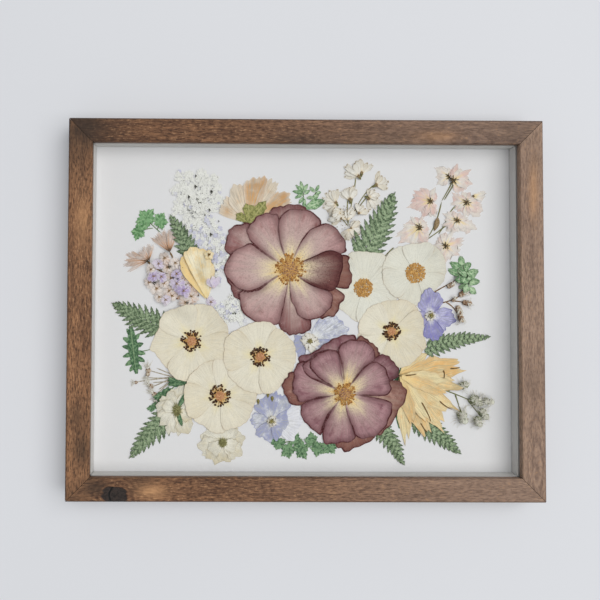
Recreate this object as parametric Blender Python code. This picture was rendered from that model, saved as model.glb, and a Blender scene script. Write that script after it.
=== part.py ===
"""Pressed flower frame: a stained wooden frame, deep enough for a spacer, holding pressed
flowers, ferns and leaves on a white board behind glass.

The frame lies on its back. Metres, +X to the right, +Y to the frame's top edge, +Z towards
the glass. The origin is the middle of the back plane, on which the four rails rest.
"""
import math
import random

import bpy
import numpy as np

# ---- Driving dimensions: the frame ------------------------------------------------------
INCH = 0.0254
MM = 0.001
GAP = 0.3 * MM                    # air left between two pieces that touch

SIGHT_WIDTH = 13.5 * INCH         # the opening seen from the front, for 14 x 11 inch glass
SIGHT_HEIGHT = 10.5 * INCH
RAIL_FACE = 0.75 * INCH           # width of each rail's front face
LIP_OVERLAP = 0.25 * INCH         # how far the lip covers the glass
FRAME_DEPTH = 1.0 * INCH
LIP_THICKNESS = 5.0 * MM
OUTER_EASE = 1.2 * MM             # chamfer on the outer front edge
INNER_EASE = 0.6 * MM             # chamfer on the sight edge

SHEET_CLEARANCE = 1.0 * MM        # glass and boards are this much smaller than the rabbet
GLASS_THICKNESS = 2.0 * MM
SPACER_HEIGHT = 10.5 * MM
SPACER_WIDTH = LIP_OVERLAP - 0.8 * MM
BOARD_THICKNESS = 2.0 * MM
BACKING_THICKNESS = 2.5 * MM

POINT_LENGTH = 15.0 * MM          # flat steel points that hold the backing in
POINT_WIDTH = 10.0 * MM
POINT_THICKNESS = 0.6 * MM
POINT_BURIED = 7.0 * MM           # length of a point inside the rail

HANGER_LENGTH = 45.0 * MM         # sawtooth hanger in a shallow pocket of the top rail
HANGER_WIDTH = 8.0 * MM
HANGER_THICKNESS = 0.8 * MM
HANGER_TEETH = 9
HANGER_POCKET_DEPTH = 2.4 * MM
NAIL_HEAD_RADIUS = 1.8 * MM
NAIL_SHANK_RADIUS = 0.6 * MM
NAIL_LENGTH = 8.0 * MM

# ---- Worked out from them ---------------------------------------------------------------
OUTER_WIDTH = SIGHT_WIDTH + 2 * RAIL_FACE
OUTER_HEIGHT = SIGHT_HEIGHT + 2 * RAIL_FACE
BACK_FACE = RAIL_FACE - LIP_OVERLAP                # width of wood behind the rabbet
RABBET_WIDTH = SIGHT_WIDTH + 2 * LIP_OVERLAP
RABBET_HEIGHT = SIGHT_HEIGHT + 2 * LIP_OVERLAP
GLASS_TOP = FRAME_DEPTH - LIP_THICKNESS - GAP
SPACER_TOP = GLASS_TOP - GLASS_THICKNESS - GAP
BOARD_TOP = SPACER_TOP - SPACER_HEIGHT - GAP
BACKING_TOP = BOARD_TOP - BOARD_THICKNESS - GAP
POINT_TOP = BACKING_TOP - BACKING_THICKNESS - GAP

# ---- Pressed plants ---------------------------------------------------------------------
LEAF_THICKNESS = 0.4 * MM         # thinnest solid used for a leaf or petal
PETAL_TILT = 0.018                # fall of a rose petal's top from its base to its tip
PETAL_STEP = 0.14 * MM            # rise from each rose petal to the one laid over it
PART_STEP = 0.05 * MM             # keeps the undersides of fused parts off one plane
CELL = 1.0 * MM                   # grid on which the height of the laid plants is kept


# ---- Scene, materials and plain solids --------------------------------------------------
def clear_scene():
    for item in list(bpy.data.objects):
        bpy.data.objects.remove(item, do_unlink=True)


def make_material(name, colour, roughness=0.7, metallic=0.0, alpha=1.0):
    made = bpy.data.materials.new(name)
    made.use_nodes = True
    shader = made.node_tree.nodes["Principled BSDF"]
    shader.inputs["Base Color"].default_value = (*colour, 1.0)
    shader.inputs["Roughness"].default_value = roughness
    shader.inputs["Metallic"].default_value = metallic
    shader.inputs["Alpha"].default_value = alpha
    return made


def make_solid(name, points, faces, material):
    mesh = bpy.data.meshes.new(name)
    mesh.from_pydata([tuple(map(float, point)) for point in points], [], faces)
    mesh.materials.append(material)
    made = bpy.data.objects.new(name, mesh)
    bpy.context.scene.collection.objects.link(made)
    return made


def extrude_outline(name, outline, bottom, top, material):
    """A prism: the outline runs anticlockwise as seen from +Z. The top is one height, or one
    for each point where it is a sloping plane."""
    count = len(outline)
    tops = np.broadcast_to(top, count)
    points = [(x, y, bottom) for x, y in outline]
    points += [(x, y, height) for (x, y), height in zip(outline, tops)]
    faces = [tuple(reversed(range(count))), tuple(range(count, 2 * count))]
    faces += [(i, (i + 1) % count, count + (i + 1) % count, count + i) for i in range(count)]
    return make_solid(name, points, faces, material)


def make_box(name, low, high, material):
    outline = [(low[0], low[1]), (high[0], low[1]), (high[0], high[1]), (low[0], high[1])]
    return extrude_outline(name, outline, low[2], high[2], material)


def make_guide(piece):
    """Marks an object as a cutter or a part that is fused into another object."""
    piece.hide_render = True
    piece.display_type = "WIRE"
    return piece


def combine(piece, guide, operation):
    step = piece.modifiers.new(operation.lower(), "BOOLEAN")
    step.operation = operation
    step.object = make_guide(guide)


# ---- The wooden frame and what it holds --------------------------------------------------
def mitred_bar(name, length, profile, material):
    """A bar along X with 45 degree ends. The profile is a list of (inward, up) points, and
    each point's ends are drawn in by its own distance from the outer edge."""
    trim = GAP / math.sqrt(2)
    count = len(profile)
    points = [(-length / 2 + inward + trim, inward, up) for inward, up in profile]
    points += [(length / 2 - inward - trim, inward, up) for inward, up in profile]
    faces = [tuple(range(count)), tuple(reversed(range(count, 2 * count)))]
    faces += [(i, count + i, count + (i + 1) % count, (i + 1) % count) for i in range(count)]
    return make_solid(name, points, faces, material)


def place_on_side(piece, side, outer_width, outer_height):
    """Turns a bar made along the bottom edge to the side it belongs to."""
    turns = {"bottom": 0, "right": 90, "top": 180, "left": 270}
    places = {
        "bottom": (0, -outer_height / 2),
        "right": (outer_width / 2, 0),
        "top": (0, outer_height / 2),
        "left": (-outer_width / 2, 0),
    }
    piece.rotation_euler = (0, 0, math.radians(turns[side]))
    piece.location = (*places[side], 0)


def rail_profile():
    return [
        (0, 0),
        (0, FRAME_DEPTH - OUTER_EASE),
        (OUTER_EASE, FRAME_DEPTH),
        (RAIL_FACE - INNER_EASE, FRAME_DEPTH),
        (RAIL_FACE, FRAME_DEPTH - INNER_EASE),
        (RAIL_FACE, FRAME_DEPTH - LIP_THICKNESS),
        (BACK_FACE, FRAME_DEPTH - LIP_THICKNESS),
        (BACK_FACE, 0),
    ]


def make_rails(material):
    rails = {}
    for side in ("top", "bottom", "left", "right"):
        length = OUTER_WIDTH if side in ("top", "bottom") else OUTER_HEIGHT
        rails[side] = mitred_bar("rail_" + side, length, rail_profile(), material)
        place_on_side(rails[side], side, OUTER_WIDTH, OUTER_HEIGHT)
    return rails


def make_spacers(material):
    """White strips under the lip that hold the glass off the flowers."""
    bottom = SPACER_TOP - SPACER_HEIGHT
    profile = [(0, bottom), (0, SPACER_TOP), (SPACER_WIDTH, SPACER_TOP), (SPACER_WIDTH, bottom)]
    outer_width = SIGHT_WIDTH + 2 * SPACER_WIDTH
    outer_height = SIGHT_HEIGHT + 2 * SPACER_WIDTH
    for side in ("top", "bottom", "left", "right"):
        length = outer_width if side in ("top", "bottom") else outer_height
        spacer = mitred_bar("spacer_" + side, length, profile, material)
        place_on_side(spacer, side, outer_width, outer_height)


def make_sheet_of_stock(name, top, thickness, material):
    half_width = (RABBET_WIDTH - SHEET_CLEARANCE) / 2
    half_height = (RABBET_HEIGHT - SHEET_CLEARANCE) / 2
    low = (-half_width, -half_height, top - thickness)
    high = (half_width, half_height, top)
    return make_box(name, low, high, material)


def make_framing_points(rails, material):
    """Flat pointed tabs, half in a slit of the rail and half over the backing."""
    across = SIGHT_WIDTH / 3.2
    seats = [
        ("top", -across, 90), ("top", across, 90), ("bottom", -across, 270),
        ("bottom", across, 270), ("left", 0, 180), ("right", 0, 0),
    ]
    buried_end = POINT_BURIED
    free_end = POINT_BURIED - POINT_LENGTH
    half = POINT_WIDTH / 2
    tab = [
        (free_end, -half * 0.6), (free_end + half * 0.5, -half), (buried_end - half, -half),
        (buried_end, 0), (buried_end - half, half), (free_end + half * 0.5, half),
        (free_end, half * 0.6),
    ]
    for number, (side, along, degrees) in enumerate(seats, start=1):
        if side in ("top", "bottom"):
            wall = (along, math.copysign(RABBET_HEIGHT / 2, math.sin(math.radians(degrees))))
        else:
            wall = (math.copysign(RABBET_WIDTH / 2, math.cos(math.radians(degrees))), along)
        name = "framing_point_%d" % number
        bottom = POINT_TOP - POINT_THICKNESS
        point = extrude_outline(name, tab, bottom, POINT_TOP, material)
        slit_low = (-1.0 * MM, -half - GAP, bottom - GAP)
        slit_high = (POINT_BURIED + GAP, half + GAP, POINT_TOP + GAP)
        slit = make_box(name + "_slit", slit_low, slit_high, material)
        for piece in (point, slit):
            piece.location = (*wall, 0)
            piece.rotation_euler = (0, 0, math.radians(degrees))
        combine(rails[side], slit, "DIFFERENCE")


def make_lathe(name, profile, sides, material):
    """A solid turned about Z from (radius, height) points, listed from top to bottom; the
    first and last radius are 0."""
    points = [(0, 0, profile[0][1])]
    for radius, height in profile[1:-1]:
        for k in range(sides):
            angle = 2 * math.pi * k / sides
            points.append((radius * math.cos(angle), radius * math.sin(angle), height))
    points.append((0, 0, profile[-1][1]))
    last = len(points) - 1
    rings = len(profile) - 2
    faces = []
    for k in range(sides):
        after = (k + 1) % sides
        faces.append((0, 1 + k, 1 + after))
        faces.append((last, last - sides + after, last - sides + k))
        for ring in range(rings - 1):
            upper = 1 + ring * sides
            lower = upper + sides
            faces.append((upper + k, lower + k, lower + after, upper + after))
    return make_solid(name, points, faces, material)


def make_hanger(top_rail, metal, nail_metal):
    """A sawtooth hanger nailed into a pocket milled in the top rail's back face."""
    middle = OUTER_HEIGHT / 2 - BACK_FACE / 2
    pocket_half = (HANGER_LENGTH / 2 + 1.5 * MM, HANGER_WIDTH / 2 + 0.8 * MM)
    pocket_low = (-pocket_half[0], middle - pocket_half[1], -1.0 * MM)
    pocket_high = (pocket_half[0], middle + pocket_half[1], HANGER_POCKET_DEPTH)
    combine(top_rail, make_box("hanger_pocket", pocket_low, pocket_high, metal), "DIFFERENCE")

    plate_top = HANGER_POCKET_DEPTH - GAP
    plate_bottom = plate_top - HANGER_THICKNESS
    ear = 7.5 * MM                                  # plain length at each end
    tooth = (HANGER_LENGTH - 2 * ear) / HANGER_TEETH
    half_length = HANGER_LENGTH / 2
    half_width = HANGER_WIDTH / 2
    outline = [(-half_length, half_width * 0.4), (-half_length, -half_width * 0.4)]
    outline += [(-half_length + 1.5 * MM, -half_width * 0.7), (-half_length + ear, -half_width)]
    for number in range(HANGER_TEETH):
        start = -half_length + ear + number * tooth
        outline += [(start + tooth / 2, -half_width + 1.6 * MM), (start + tooth, -half_width)]
    outline += [(half_length - 1.5 * MM, -half_width * 0.7), (half_length, -half_width * 0.4)]
    outline += [(half_length, half_width * 0.4), (half_length - 2 * MM, half_width)]
    outline += [(-half_length + 2 * MM, half_width)]
    hanger = extrude_outline("sawtooth_hanger", outline, plate_bottom, plate_top, metal)
    hanger.location = (0, middle, 0)

    head_top = plate_bottom - GAP
    head_bottom = head_top - 0.6 * MM
    for side, name in ((-1, "hanger_nail_left"), (1, "hanger_nail_right")):
        x = side * (half_length - 3.5 * MM)
        shank = [
            (0, head_bottom), (NAIL_HEAD_RADIUS, head_bottom), (NAIL_HEAD_RADIUS, head_top),
            (NAIL_SHANK_RADIUS, head_top), (NAIL_SHANK_RADIUS, NAIL_LENGTH - 1.2 * MM),
            (0, NAIL_LENGTH),
        ]
        nail = make_lathe(name, shank[::-1], 8, nail_metal)
        nail.location = (x, middle, 0)
        hole_radius = NAIL_SHANK_RADIUS + GAP
        hole = [
            (0, NAIL_LENGTH + GAP), (hole_radius, NAIL_LENGTH + GAP), (hole_radius, head_top),
            (0, head_top),
        ]
        for target, label in ((hanger, "_plate_hole"), (top_rail, "_wood_hole")):
            cutter = make_lathe(name + label, hole, 8, metal)
            cutter.location = (x, middle, 0)
            combine(target, cutter, "DIFFERENCE")


# ---- Outlines of petals, leaves and blossoms, in millimetres -----------------------------
def turned(points, degrees, place):
    angle = math.radians(degrees)
    spin = np.array([[math.cos(angle), math.sin(angle)], [-math.sin(angle), math.cos(angle)]])
    return np.asarray(points, float) @ spin + np.asarray(place, float)


def petal_outline(length, half_width, slender, pointed, steps):
    """An egg with its narrow end at the origin. Half way round it the width grows as a sine,
    raised to a power for a pointed tip, and is drawn in towards the base by slender."""
    turn = np.linspace(0, math.pi, steps + 1)
    along = (1 - np.cos(turn)) / 2
    width = np.sin(turn) ** pointed * (slender + (1 - slender) * along)
    width = half_width * width / width.max()
    lower = np.stack([along * length, -width], axis=1)
    upper = np.stack([along * length, width], axis=1)[1:-1][::-1]
    return np.concatenate([lower, upper])


def spread_petals(heart, petals, slender, pointed, steps):
    """Petal outlines that all cross at the heart. Each starts a little further behind it than
    the one before, so that no two ends fall on one point."""
    outlines = []
    for number, (degrees, length, half_width) in enumerate(petals):
        behind = 1.5 + 0.35 * number
        outline = petal_outline(length + behind, half_width, slender, pointed, steps)
        outlines.append(turned(outline - (behind, 0), degrees, heart))
    return outlines


def round_outline(radii, sides):
    """A closed outline through (degrees, radius) points, eased from one to the next by half a
    cosine wave."""
    angles = np.array([angle for angle, _ in radii], float)
    values = np.array([radius for _, radius in radii], float)
    angles = np.append(angles, angles[0] + 360)
    values = np.append(values, values[0])
    asked = angles[0] + 360 * np.arange(sides) / sides
    after = np.clip(np.searchsorted(angles, asked, side="right"), 1, len(angles) - 1)
    share = (asked - angles[after - 1]) / (angles[after] - angles[after - 1])
    ease = (1 - np.cos(math.pi * share)) / 2
    radius = values[after - 1] * (1 - ease) + values[after] * ease
    return polar(np.radians(asked), radius)


def polar(angles, radius):
    return np.stack([radius * np.cos(angles), radius * np.sin(angles)], axis=1)


def lobed_outline(radius, lobes, depth, phase, sides):
    """A round corolla whose edge swells once for each petal."""
    angles = 2 * math.pi * np.arange(sides) / sides
    swell = np.abs(np.cos(lobes * (angles - math.radians(phase)) / 2))
    return polar(angles, radius * (1 - depth + depth * swell))


def jagged_outline(radius_x, radius_y, teeth, depth, seed):
    """A cut leaf: tips and notches take turns round an ellipse, each a little different."""
    draw = random.Random(seed)
    angles = 2 * math.pi * np.arange(2 * teeth) / (2 * teeth)
    reach = [
        (1 - draw.uniform(0, 0.12)) if k % 2 == 0 else (1 - depth * draw.uniform(0.75, 1.1))
        for k in range(2 * teeth)
    ]
    return polar(angles, np.array(reach)) * (radius_x, radius_y)


def strip_outline(path, width):
    """A thin stem of even width along a few points."""
    path = np.asarray(path, float)
    along = np.gradient(path, axis=0)
    across = np.stack([-along[:, 1], along[:, 0]], axis=1)
    across *= width / 2 / np.linalg.norm(across, axis=1)[:, None]
    return np.concatenate([path - across, (path + across)[::-1]])


# ---- Laying the plants on the board ------------------------------------------------------
class Bed:
    """The height of what already lies on the board, on a grid of square cells."""

    def __init__(self):
        self.xs = np.arange(-SIGHT_WIDTH / 2, SIGHT_WIDTH / 2 + CELL, CELL)
        self.ys = np.arange(-SIGHT_HEIGHT / 2, SIGHT_HEIGHT / 2 + CELL, CELL)
        self.top = np.full((len(self.ys), len(self.xs)), BOARD_TOP)

    def highest(self, points, reach):
        """The highest surface within reach of each (x, y) point."""
        found = []
        for x, y in points:
            left, right = np.searchsorted(self.xs, (x - reach - CELL, x + reach + CELL))
            low, high = np.searchsorted(self.ys, (y - reach - CELL, y + reach + CELL))
            found.append(self.top[low:high, left:right].max())
        return np.array(found)

    def lay(self, points, faces, heights):
        """Raises the cells under each triangle, and a cell round it, to its height."""
        for face in faces:
            corner = points[list(face)]
            low = corner.min(axis=0) - CELL
            high = corner.max(axis=0) + CELL
            left, right = np.searchsorted(self.xs, (low[0], high[0]))
            below, above = np.searchsorted(self.ys, (low[1], high[1]))
            grid = np.stack(np.meshgrid(self.xs[left:right], self.ys[below:above]), axis=-1)
            base = np.array([corner[1] - corner[0], corner[2] - corner[0]])
            if abs(np.linalg.det(base)) < 1e-12:
                continue
            share = (grid - corner[0]) @ np.linalg.inv(base)
            slack = CELL * np.abs(np.linalg.inv(base)).max() * 1.5
            inside = (share > -slack).all(axis=-1) & (share.sum(axis=-1) < 1 + slack)
            cells = self.top[below:above, left:right]
            level = heights[list(face)].max()
            cells[inside] = np.maximum(cells[inside], level)


def boundary_loop(faces):
    """The directed edges that only one face uses, in order round the sheet."""
    edges = {}
    for face in faces:
        for start, end in zip(face, face[1:] + face[:1]):
            edges[start, end] = True
    after = {start: end for start, end in edges if (end, start) not in edges}
    loop = [next(iter(after))]
    while after[loop[-1]] != loop[0]:
        loop.append(after[loop[-1]])
    return loop


def smooth_above(lowest, edges, rounds=2):
    """Evens heights out between neighbours and never lets one sink below its lowest."""
    ends = np.concatenate([edges, edges[:, ::-1]])
    neighbours = np.bincount(ends[:, 0])
    heights = lowest
    for _ in range(rounds):
        mean = np.bincount(ends[:, 0], weights=heights[ends[:, 1]]) / neighbours
        heights = np.maximum(lowest, mean)
    return heights


def drape(bed, name, points_mm, faces, material, relief=None):
    """Lays a thin sheet on the bed: each point clears whatever lies within one edge of it."""
    points = np.asarray(points_mm, float) * MM
    edges = np.array([edge for face in faces for edge in zip(face, face[1:] + face[:1])])
    reach = np.linalg.norm(points[edges[:, 0]] - points[edges[:, 1]], axis=1).max()
    bottom = smooth_above(bed.highest(points, reach) + GAP, edges)
    top = bottom + LEAF_THICKNESS
    if relief is not None:
        top = top + np.asarray(relief) * MM
    count = len(points)
    solid_points = np.concatenate([
        np.column_stack([points, bottom]), np.column_stack([points, top]),
    ])
    loop = boundary_loop(faces)
    solid_faces = [tuple(reversed(face)) for face in faces]
    solid_faces += [tuple(count + i for i in face) for face in faces]
    solid_faces += [
        (a, b, count + b, count + a) for a, b in zip(loop, loop[1:] + loop[:1])
    ]
    made = make_solid(name, solid_points, solid_faces, material)
    bed.lay(points, faces, top)
    return made


def lay_flat(bed, name, outlines_mm, material, step=PETAL_STEP, heart_mm=None):
    """Lays several overlapping flat parts as one fused piece. Each part is a little higher
    than the one before, so that the later ones show on top. With a heart, which is the place
    the petals grow from, each petal's top also falls evenly towards its tip."""
    outlines = [np.asarray(outline, float) * MM for outline in outlines_mm]
    falls = [np.zeros(len(outline)) for outline in outlines]
    if heart_mm is not None:
        heart = np.array(heart_mm) * MM
        for fall, outline in zip(falls, outlines):
            axis = outline.mean(axis=0) - heart
            size = np.linalg.norm(axis)
            if size > 1.0 * MM:
                fall += PETAL_TILT * (outline - heart) @ axis / size
    rise = max(fall.max() for fall in falls) + (len(outlines) - 1) * PART_STEP
    samples = np.concatenate([
        np.linspace(outline, outline.mean(axis=0), 8, endpoint=False).reshape(-1, 2)
        for outline in outlines
    ])
    level = bed.highest(samples, 4 * CELL).max() + GAP
    parts = []
    for number, outline in enumerate(outlines):
        bottom = level + (len(outlines) - 1 - number) * PART_STEP
        top = level + LEAF_THICKNESS + number * step + rise - falls[number]
        label = name if number == 0 else "%s_part_%d" % (name, number)
        parts.append(extrude_outline(label, outline.tolist(), bottom, top, material))
        fan = np.vstack([outline.mean(axis=0), outline])
        faces = [(0, 1 + k, 1 + (k + 1) % len(outline)) for k in range(len(outline))]
        bed.lay(fan, faces, np.append(top.mean(), top))
    for part in parts[1:]:
        combine(parts[0], part, "UNION")
    return parts[0]


def ringed_sheet(outline, fractions):
    """Points and faces of a sheet with a middle point and rings at fractions of its outline."""
    sides = len(outline)
    points = np.vstack([np.zeros((1, 2))] + [outline * fraction for fraction in fractions])
    faces = [(0, 1 + k, 1 + (k + 1) % sides) for k in range(sides)]
    for ring in range(len(fractions) - 1):
        inner = 1 + ring * sides
        outer = inner + sides
        for k in range(sides):
            after = (k + 1) % sides
            faces.append((inner + k, outer + k, outer + after))
            faces.append((inner + k, outer + after, inner + after))
    return points, faces


# ---- Each kind of plant ------------------------------------------------------------------
def make_rose(bed, name, centre, petals, material):
    """Broad petals laid one over the next round a boss of stamens."""
    outlines = spread_petals(centre, petals, 0.35, 1.0, 7)
    boss_radius = 10.5
    boss_sides = 16
    boss = polar(2 * math.pi * np.arange(boss_sides) / boss_sides, boss_radius) + centre
    lay_flat(bed, name, outlines + [boss], material, heart_mm=centre)


def make_cream_flower(bed, name, centre, radius, lobes, depth, phase, eye, material):
    """A round, shallowly lobed corolla with a low ring of stamens of radius eye."""
    outline = lobed_outline(radius, lobes, depth, phase, 4 * lobes)
    points, faces = ringed_sheet(outline, (eye / radius, 0.6, 1.0))
    sides = len(outline)
    relief = np.zeros(len(points))
    relief[0] = 0.4
    relief[1:1 + sides] = 0.7
    relief[1 + sides:1 + 2 * sides:2] = 0.4          # shallow folds half way out
    drape(bed, name, points + centre, faces, material, relief)


def make_lace(bed, name, centre, outline, material):
    """A mass of tiny white florets, pressed to a thin uneven pad."""
    points, faces = ringed_sheet(outline, (0.5, 1.0))
    draw = random.Random(name)
    relief = [draw.uniform(0, 0.5) for _ in points]
    drape(bed, name, points + centre, faces, material, relief)


def make_fern(bed, name, base, tip, half_width, pinnae, bow, material):
    """A fern tip: teeth point forward along both edges of a bowed midrib, wide at the base
    and closing to the tip."""
    base = np.array(base, float)
    tip = np.array(tip, float)
    along = tip - base
    across = np.array([-along[1], along[0]]) / np.linalg.norm(along)
    points = []
    stations = 2 * pinnae
    for k in range(stations):
        share = k / stations
        rib = base + along * share + across * bow * 4 * share * (1 - share)
        shape = half_width * (1 - share) ** 0.8 * min(1.0, 0.55 + 2.5 * share)
        reach = shape if k % 2 else shape * 0.45
        forward = along / stations * (0.7 if k % 2 else 0)
        points += [rib + across * reach + forward, rib, rib - across * reach + forward]
    points.append(tip)
    faces = []
    for k in range(stations - 1):
        left = 3 * k
        faces += [(left, left + 1, left + 4), (left, left + 4, left + 3)]
        faces += [(left + 1, left + 2, left + 5), (left + 1, left + 5, left + 4)]
    last = 3 * (stations - 1)
    end = len(points) - 1
    faces += [(last, last + 1, end), (last + 1, last + 2, end)]
    drape(bed, name, np.array(points), faces, material)


def make_fan(bed, name, base, petals, material, slender=0.3, pointed=1.0):
    """Petals that spread from one base, each given by direction, length and half width."""
    outlines = spread_petals(base, petals, slender, pointed, 5)
    lay_flat(bed, name, outlines, material, step=0.12 * MM)


def make_spray(bed, name, stems, florets, material, stem_width=1.2):
    """Thin stems with small blossoms: a floret is its centre, radius and number of lobes."""
    outlines = [strip_outline(path, stem_width) for path in stems]
    for number, (x, y, radius, lobes) in enumerate(florets):
        outline = lobed_outline(radius, lobes, 0.3, 40 * number, 2 * lobes)
        outlines.append(outline + (x, y))
    lay_flat(bed, name, outlines, material, step=0.05 * MM)


def make_cut_leaves(bed, name, leaves, stems, material):
    """Deeply toothed leaves: centre, two radii, number of teeth, and turn in degrees."""
    outlines = [strip_outline(path, 1.0) for path in stems]
    for number, (x, y, radius_x, radius_y, teeth, degrees) in enumerate(leaves):
        outline = jagged_outline(radius_x, radius_y, teeth, 0.35, name + str(number))
        outlines.append(turned(outline, degrees, (x, y)))
    lay_flat(bed, name, outlines, material, step=0.05 * MM)


# ---- The arrangement, from the board upwards ---------------------------------------------
ROSE_UPPER_CENTRE = (-11.0, 32.5)
ROSE_UPPER_PETALS = [             # direction, length, half width, back petals first
    (148, 59, 18), (91, 54, 21), (-10, 51, 21), (-82, 54, 13), (205, 54, 16), (262, 49, 15),
    (118, 52, 21), (40, 51, 22), (80, 52, 16.5), (233, 49, 21), (-59, 45, 20),
    (-2, 44, 17.5), (179, 54, 19.5),
]
ROSE_LOWER_CENTRE = (34.0, -69.5)
ROSE_LOWER_PETALS = [
    (174, 51, 14), (92, 48, 15), (63, 48.5, 12), (33, 49.5, 13), (-12, 51, 21.5),
    (-84, 47, 16.5), (168, 42, 14), (-38, 44, 18), (77, 46, 16.5), (24, 44.5, 15.5),
    (266, 43, 16.5), (224, 41, 13), (128, 44.5, 16.5),
]
CREAM_FLOWERS = [                 # centre, radius, lobes, depth, phase, stamen radius
    ((49.7, 17.4), 30.0, 5, 0.10, 80, 8.0),
    ((92.8, 30.0), 26.0, 6, 0.08, 25, 9.0),
    ((-92.0, -27.0), 33.0, 5, 0.08, 48, 8.0),
    ((-68.5, -71.7), 30.5, 6, 0.07, 10, 8.5),
    ((72.8, -18.3), 27.5, 5, 0.13, 75, 7.0),
    ((-35.6, -39.6), 30.5, 5, 0.09, 95, 8.0),
]


def make_lowest_layer(bed, colours):
    lace = round_outline([(0, 25), (60, 23), (120, 25.5), (180, 24), (240, 25), (300, 26)], 20)
    make_lace(bed, "lace_upper", (-88.5, 92.6), lace, colours["lace"])
    lace = round_outline([(0, 26), (50, 30), (90, 36), (140, 28), (180, 24), (240, 32),
                          (290, 36), (330, 27)], 22)
    make_lace(bed, "lace_lower", (-81.0, 42.0), lace, colours["lace"])
    lace = round_outline([(0, 15), (90, 14), (160, 16), (240, 14), (300, 13)], 14)
    make_lace(bed, "lace_small", (-58.5, -1.0), lace, colours["lace"])
    make_spray(
        bed, "white_spray",
        [[(28, 88), (31, 76), (37, 68)], [(42, 112), (42, 96), (38, 80), (37, 68)],
         [(60, 105), (47, 92), (40, 76)]],
        [(41.5, 115.5, 9.5, 6), (64, 107, 8, 5), (56, 93, 9, 5), (37.5, 96.5, 9.5, 6),
         (27.5, 88, 10.5, 6), (37, 71, 11, 6)],
        colours["ivory"],
    )
    make_spray(
        bed, "blush_spray",
        [[(120, 106), (112, 91), (104, 78), (98, 62)], [(130, 90), (118, 79), (106, 66)],
         [(125, 73), (113, 64), (100, 56)], [(103, 90), (107, 76)]],
        [(120, 109, 12, 5), (131, 101, 8, 5), (103, 90, 14.5, 6), (133, 87, 12.5, 5),
         (94, 67, 14, 5), (125, 72, 11, 5), (115, 54, 12.5, 5)],
        colours["blush"],
    )
    make_spray(
        bed, "heather_sprig",
        [[(109, 15.5), (118, 19.5), (127, 24)], [(113, 5), (123, 7), (132.5, 12)],
         [(109, 15.5), (111, 10), (113, 5)], [(120, 6), (127, 1), (131, -6)],
         [(124, 7), (129, 6.5), (134.5, 5)]],
        [(121, 19.5, 3.4, 3), (132.5, 12, 4.2, 3), (134.5, 5, 4.0, 3), (128, 0.5, 4.0, 3),
         (130, -6, 4.2, 3)],
        colours["bud"],
    )
    make_spray(
        bed, "bud_sprig_right",
        [[(113, -66), (125, -69), (141, -76)], [(119, -67.5), (125, -64), (131, -62.5)],
         [(125, -69), (128, -78), (131, -87)], [(136, -74), (141, -81), (146, -88)]],
        [(131, -62.5, 5, 4), (141, -75, 6, 4), (148.5, -75.5, 4.5, 3), (146, -88, 5.5, 4),
         (130, -87.5, 6, 4)],
        colours["bud"],
    )
    make_spray(
        bed, "bud_sprig_left",
        [[(-104, -57), (-114, -55), (-126, -51)], [(-107, -56.5), (-122, -58), (-138, -60)],
         [(-107, -56.5), (-115, -61), (-123, -65)], [(-107, -56.5), (-113, -63), (-120, -70)]],
        [(-127, -50.5, 3.6, 3), (-127, -57.5, 3.6, 3), (-126, -65.5, 4.0, 3),
         (-121, -70.5, 3.8, 3)],
        colours["bud"],
    )
    statice = round_outline([
        (0, 20), (30, 19), (58, 21), (78, 32), (99, 31), (118, 23), (148, 28), (188, 30),
        (218, 15), (253, 19), (275, 27), (300, 31), (325, 29),
    ], 28)
    make_lace(bed, "statice_cluster", (-116.5, 31.0), statice, colours["lilac"])
    make_cut_leaves(
        bed, "parsley_sprig",
        [(-130, 74, 9.5, 8, 6, 20), (-136, 63.5, 8.5, 6, 5, 70), (-118, 72, 7.5, 6, 5, 100)],
        [[(-130, 74), (-126, 69), (-117.5, 62)], [(-118, 72), (-120, 67), (-121, 64.5)]],
        colours["leaf_bright"],
    )
    make_cut_leaves(
        bed, "jagged_leaf", [(-139.5, -32.5, 18, 7.5, 8, 95)],
        [[(-139, -32), (-133, -36), (-123, -33)]], colours["leaf"],
    )
    make_cut_leaves(
        bed, "dark_leaves",
        [(-102, -61, 12, 5, 5, -5), (-114.5, -71, 11, 5, 5, 35), (-123, -81, 6, 3, 4, 40)],
        [[(-102, -61), (-112, -69), (-123, -81)]], colours["leaf_dark"],
    )
    make_cut_leaves(
        bed, "green_sprig_top",
        [(-3.5, 95.5, 8, 7, 6, 60), (7, 95.5, 6.5, 4, 4, 75), (7, 86, 8.5, 5, 4, 10)],
        [[(-3.5, 95), (1, 86), (0, 78)], [(7, 95), (3, 88)]], colours["leaf_bright"],
    )
    make_cut_leaves(
        bed, "leaf_cluster_right",
        [(128, 33, 13, 8, 6, 110), (134, 22, 12, 8.5, 6, 120), (124, 29, 8, 5, 4, 170)],
        [[(128, 32), (126, 26), (124, 21)]], colours["leaf_bright"],
    )
    make_cut_leaves(
        bed, "lobed_leaves",
        [(-16, -113, 10, 7, 6, 110), (-1.5, -112.5, 11.5, 9, 7, 80), (10.5, -110, 9, 6.5, 5, 20),
         (21.5, -113.5, 8, 6, 5, 0)],
        [[(-16, -113), (-1, -108), (10, -110), (22, -113)]], colours["leaf_bright"],
    )
    make_fan(bed, "hidden_leaf", (80.5, -98), [(88, 52, 8)], colours["leaf_dark"], slender=0.6)


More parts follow.
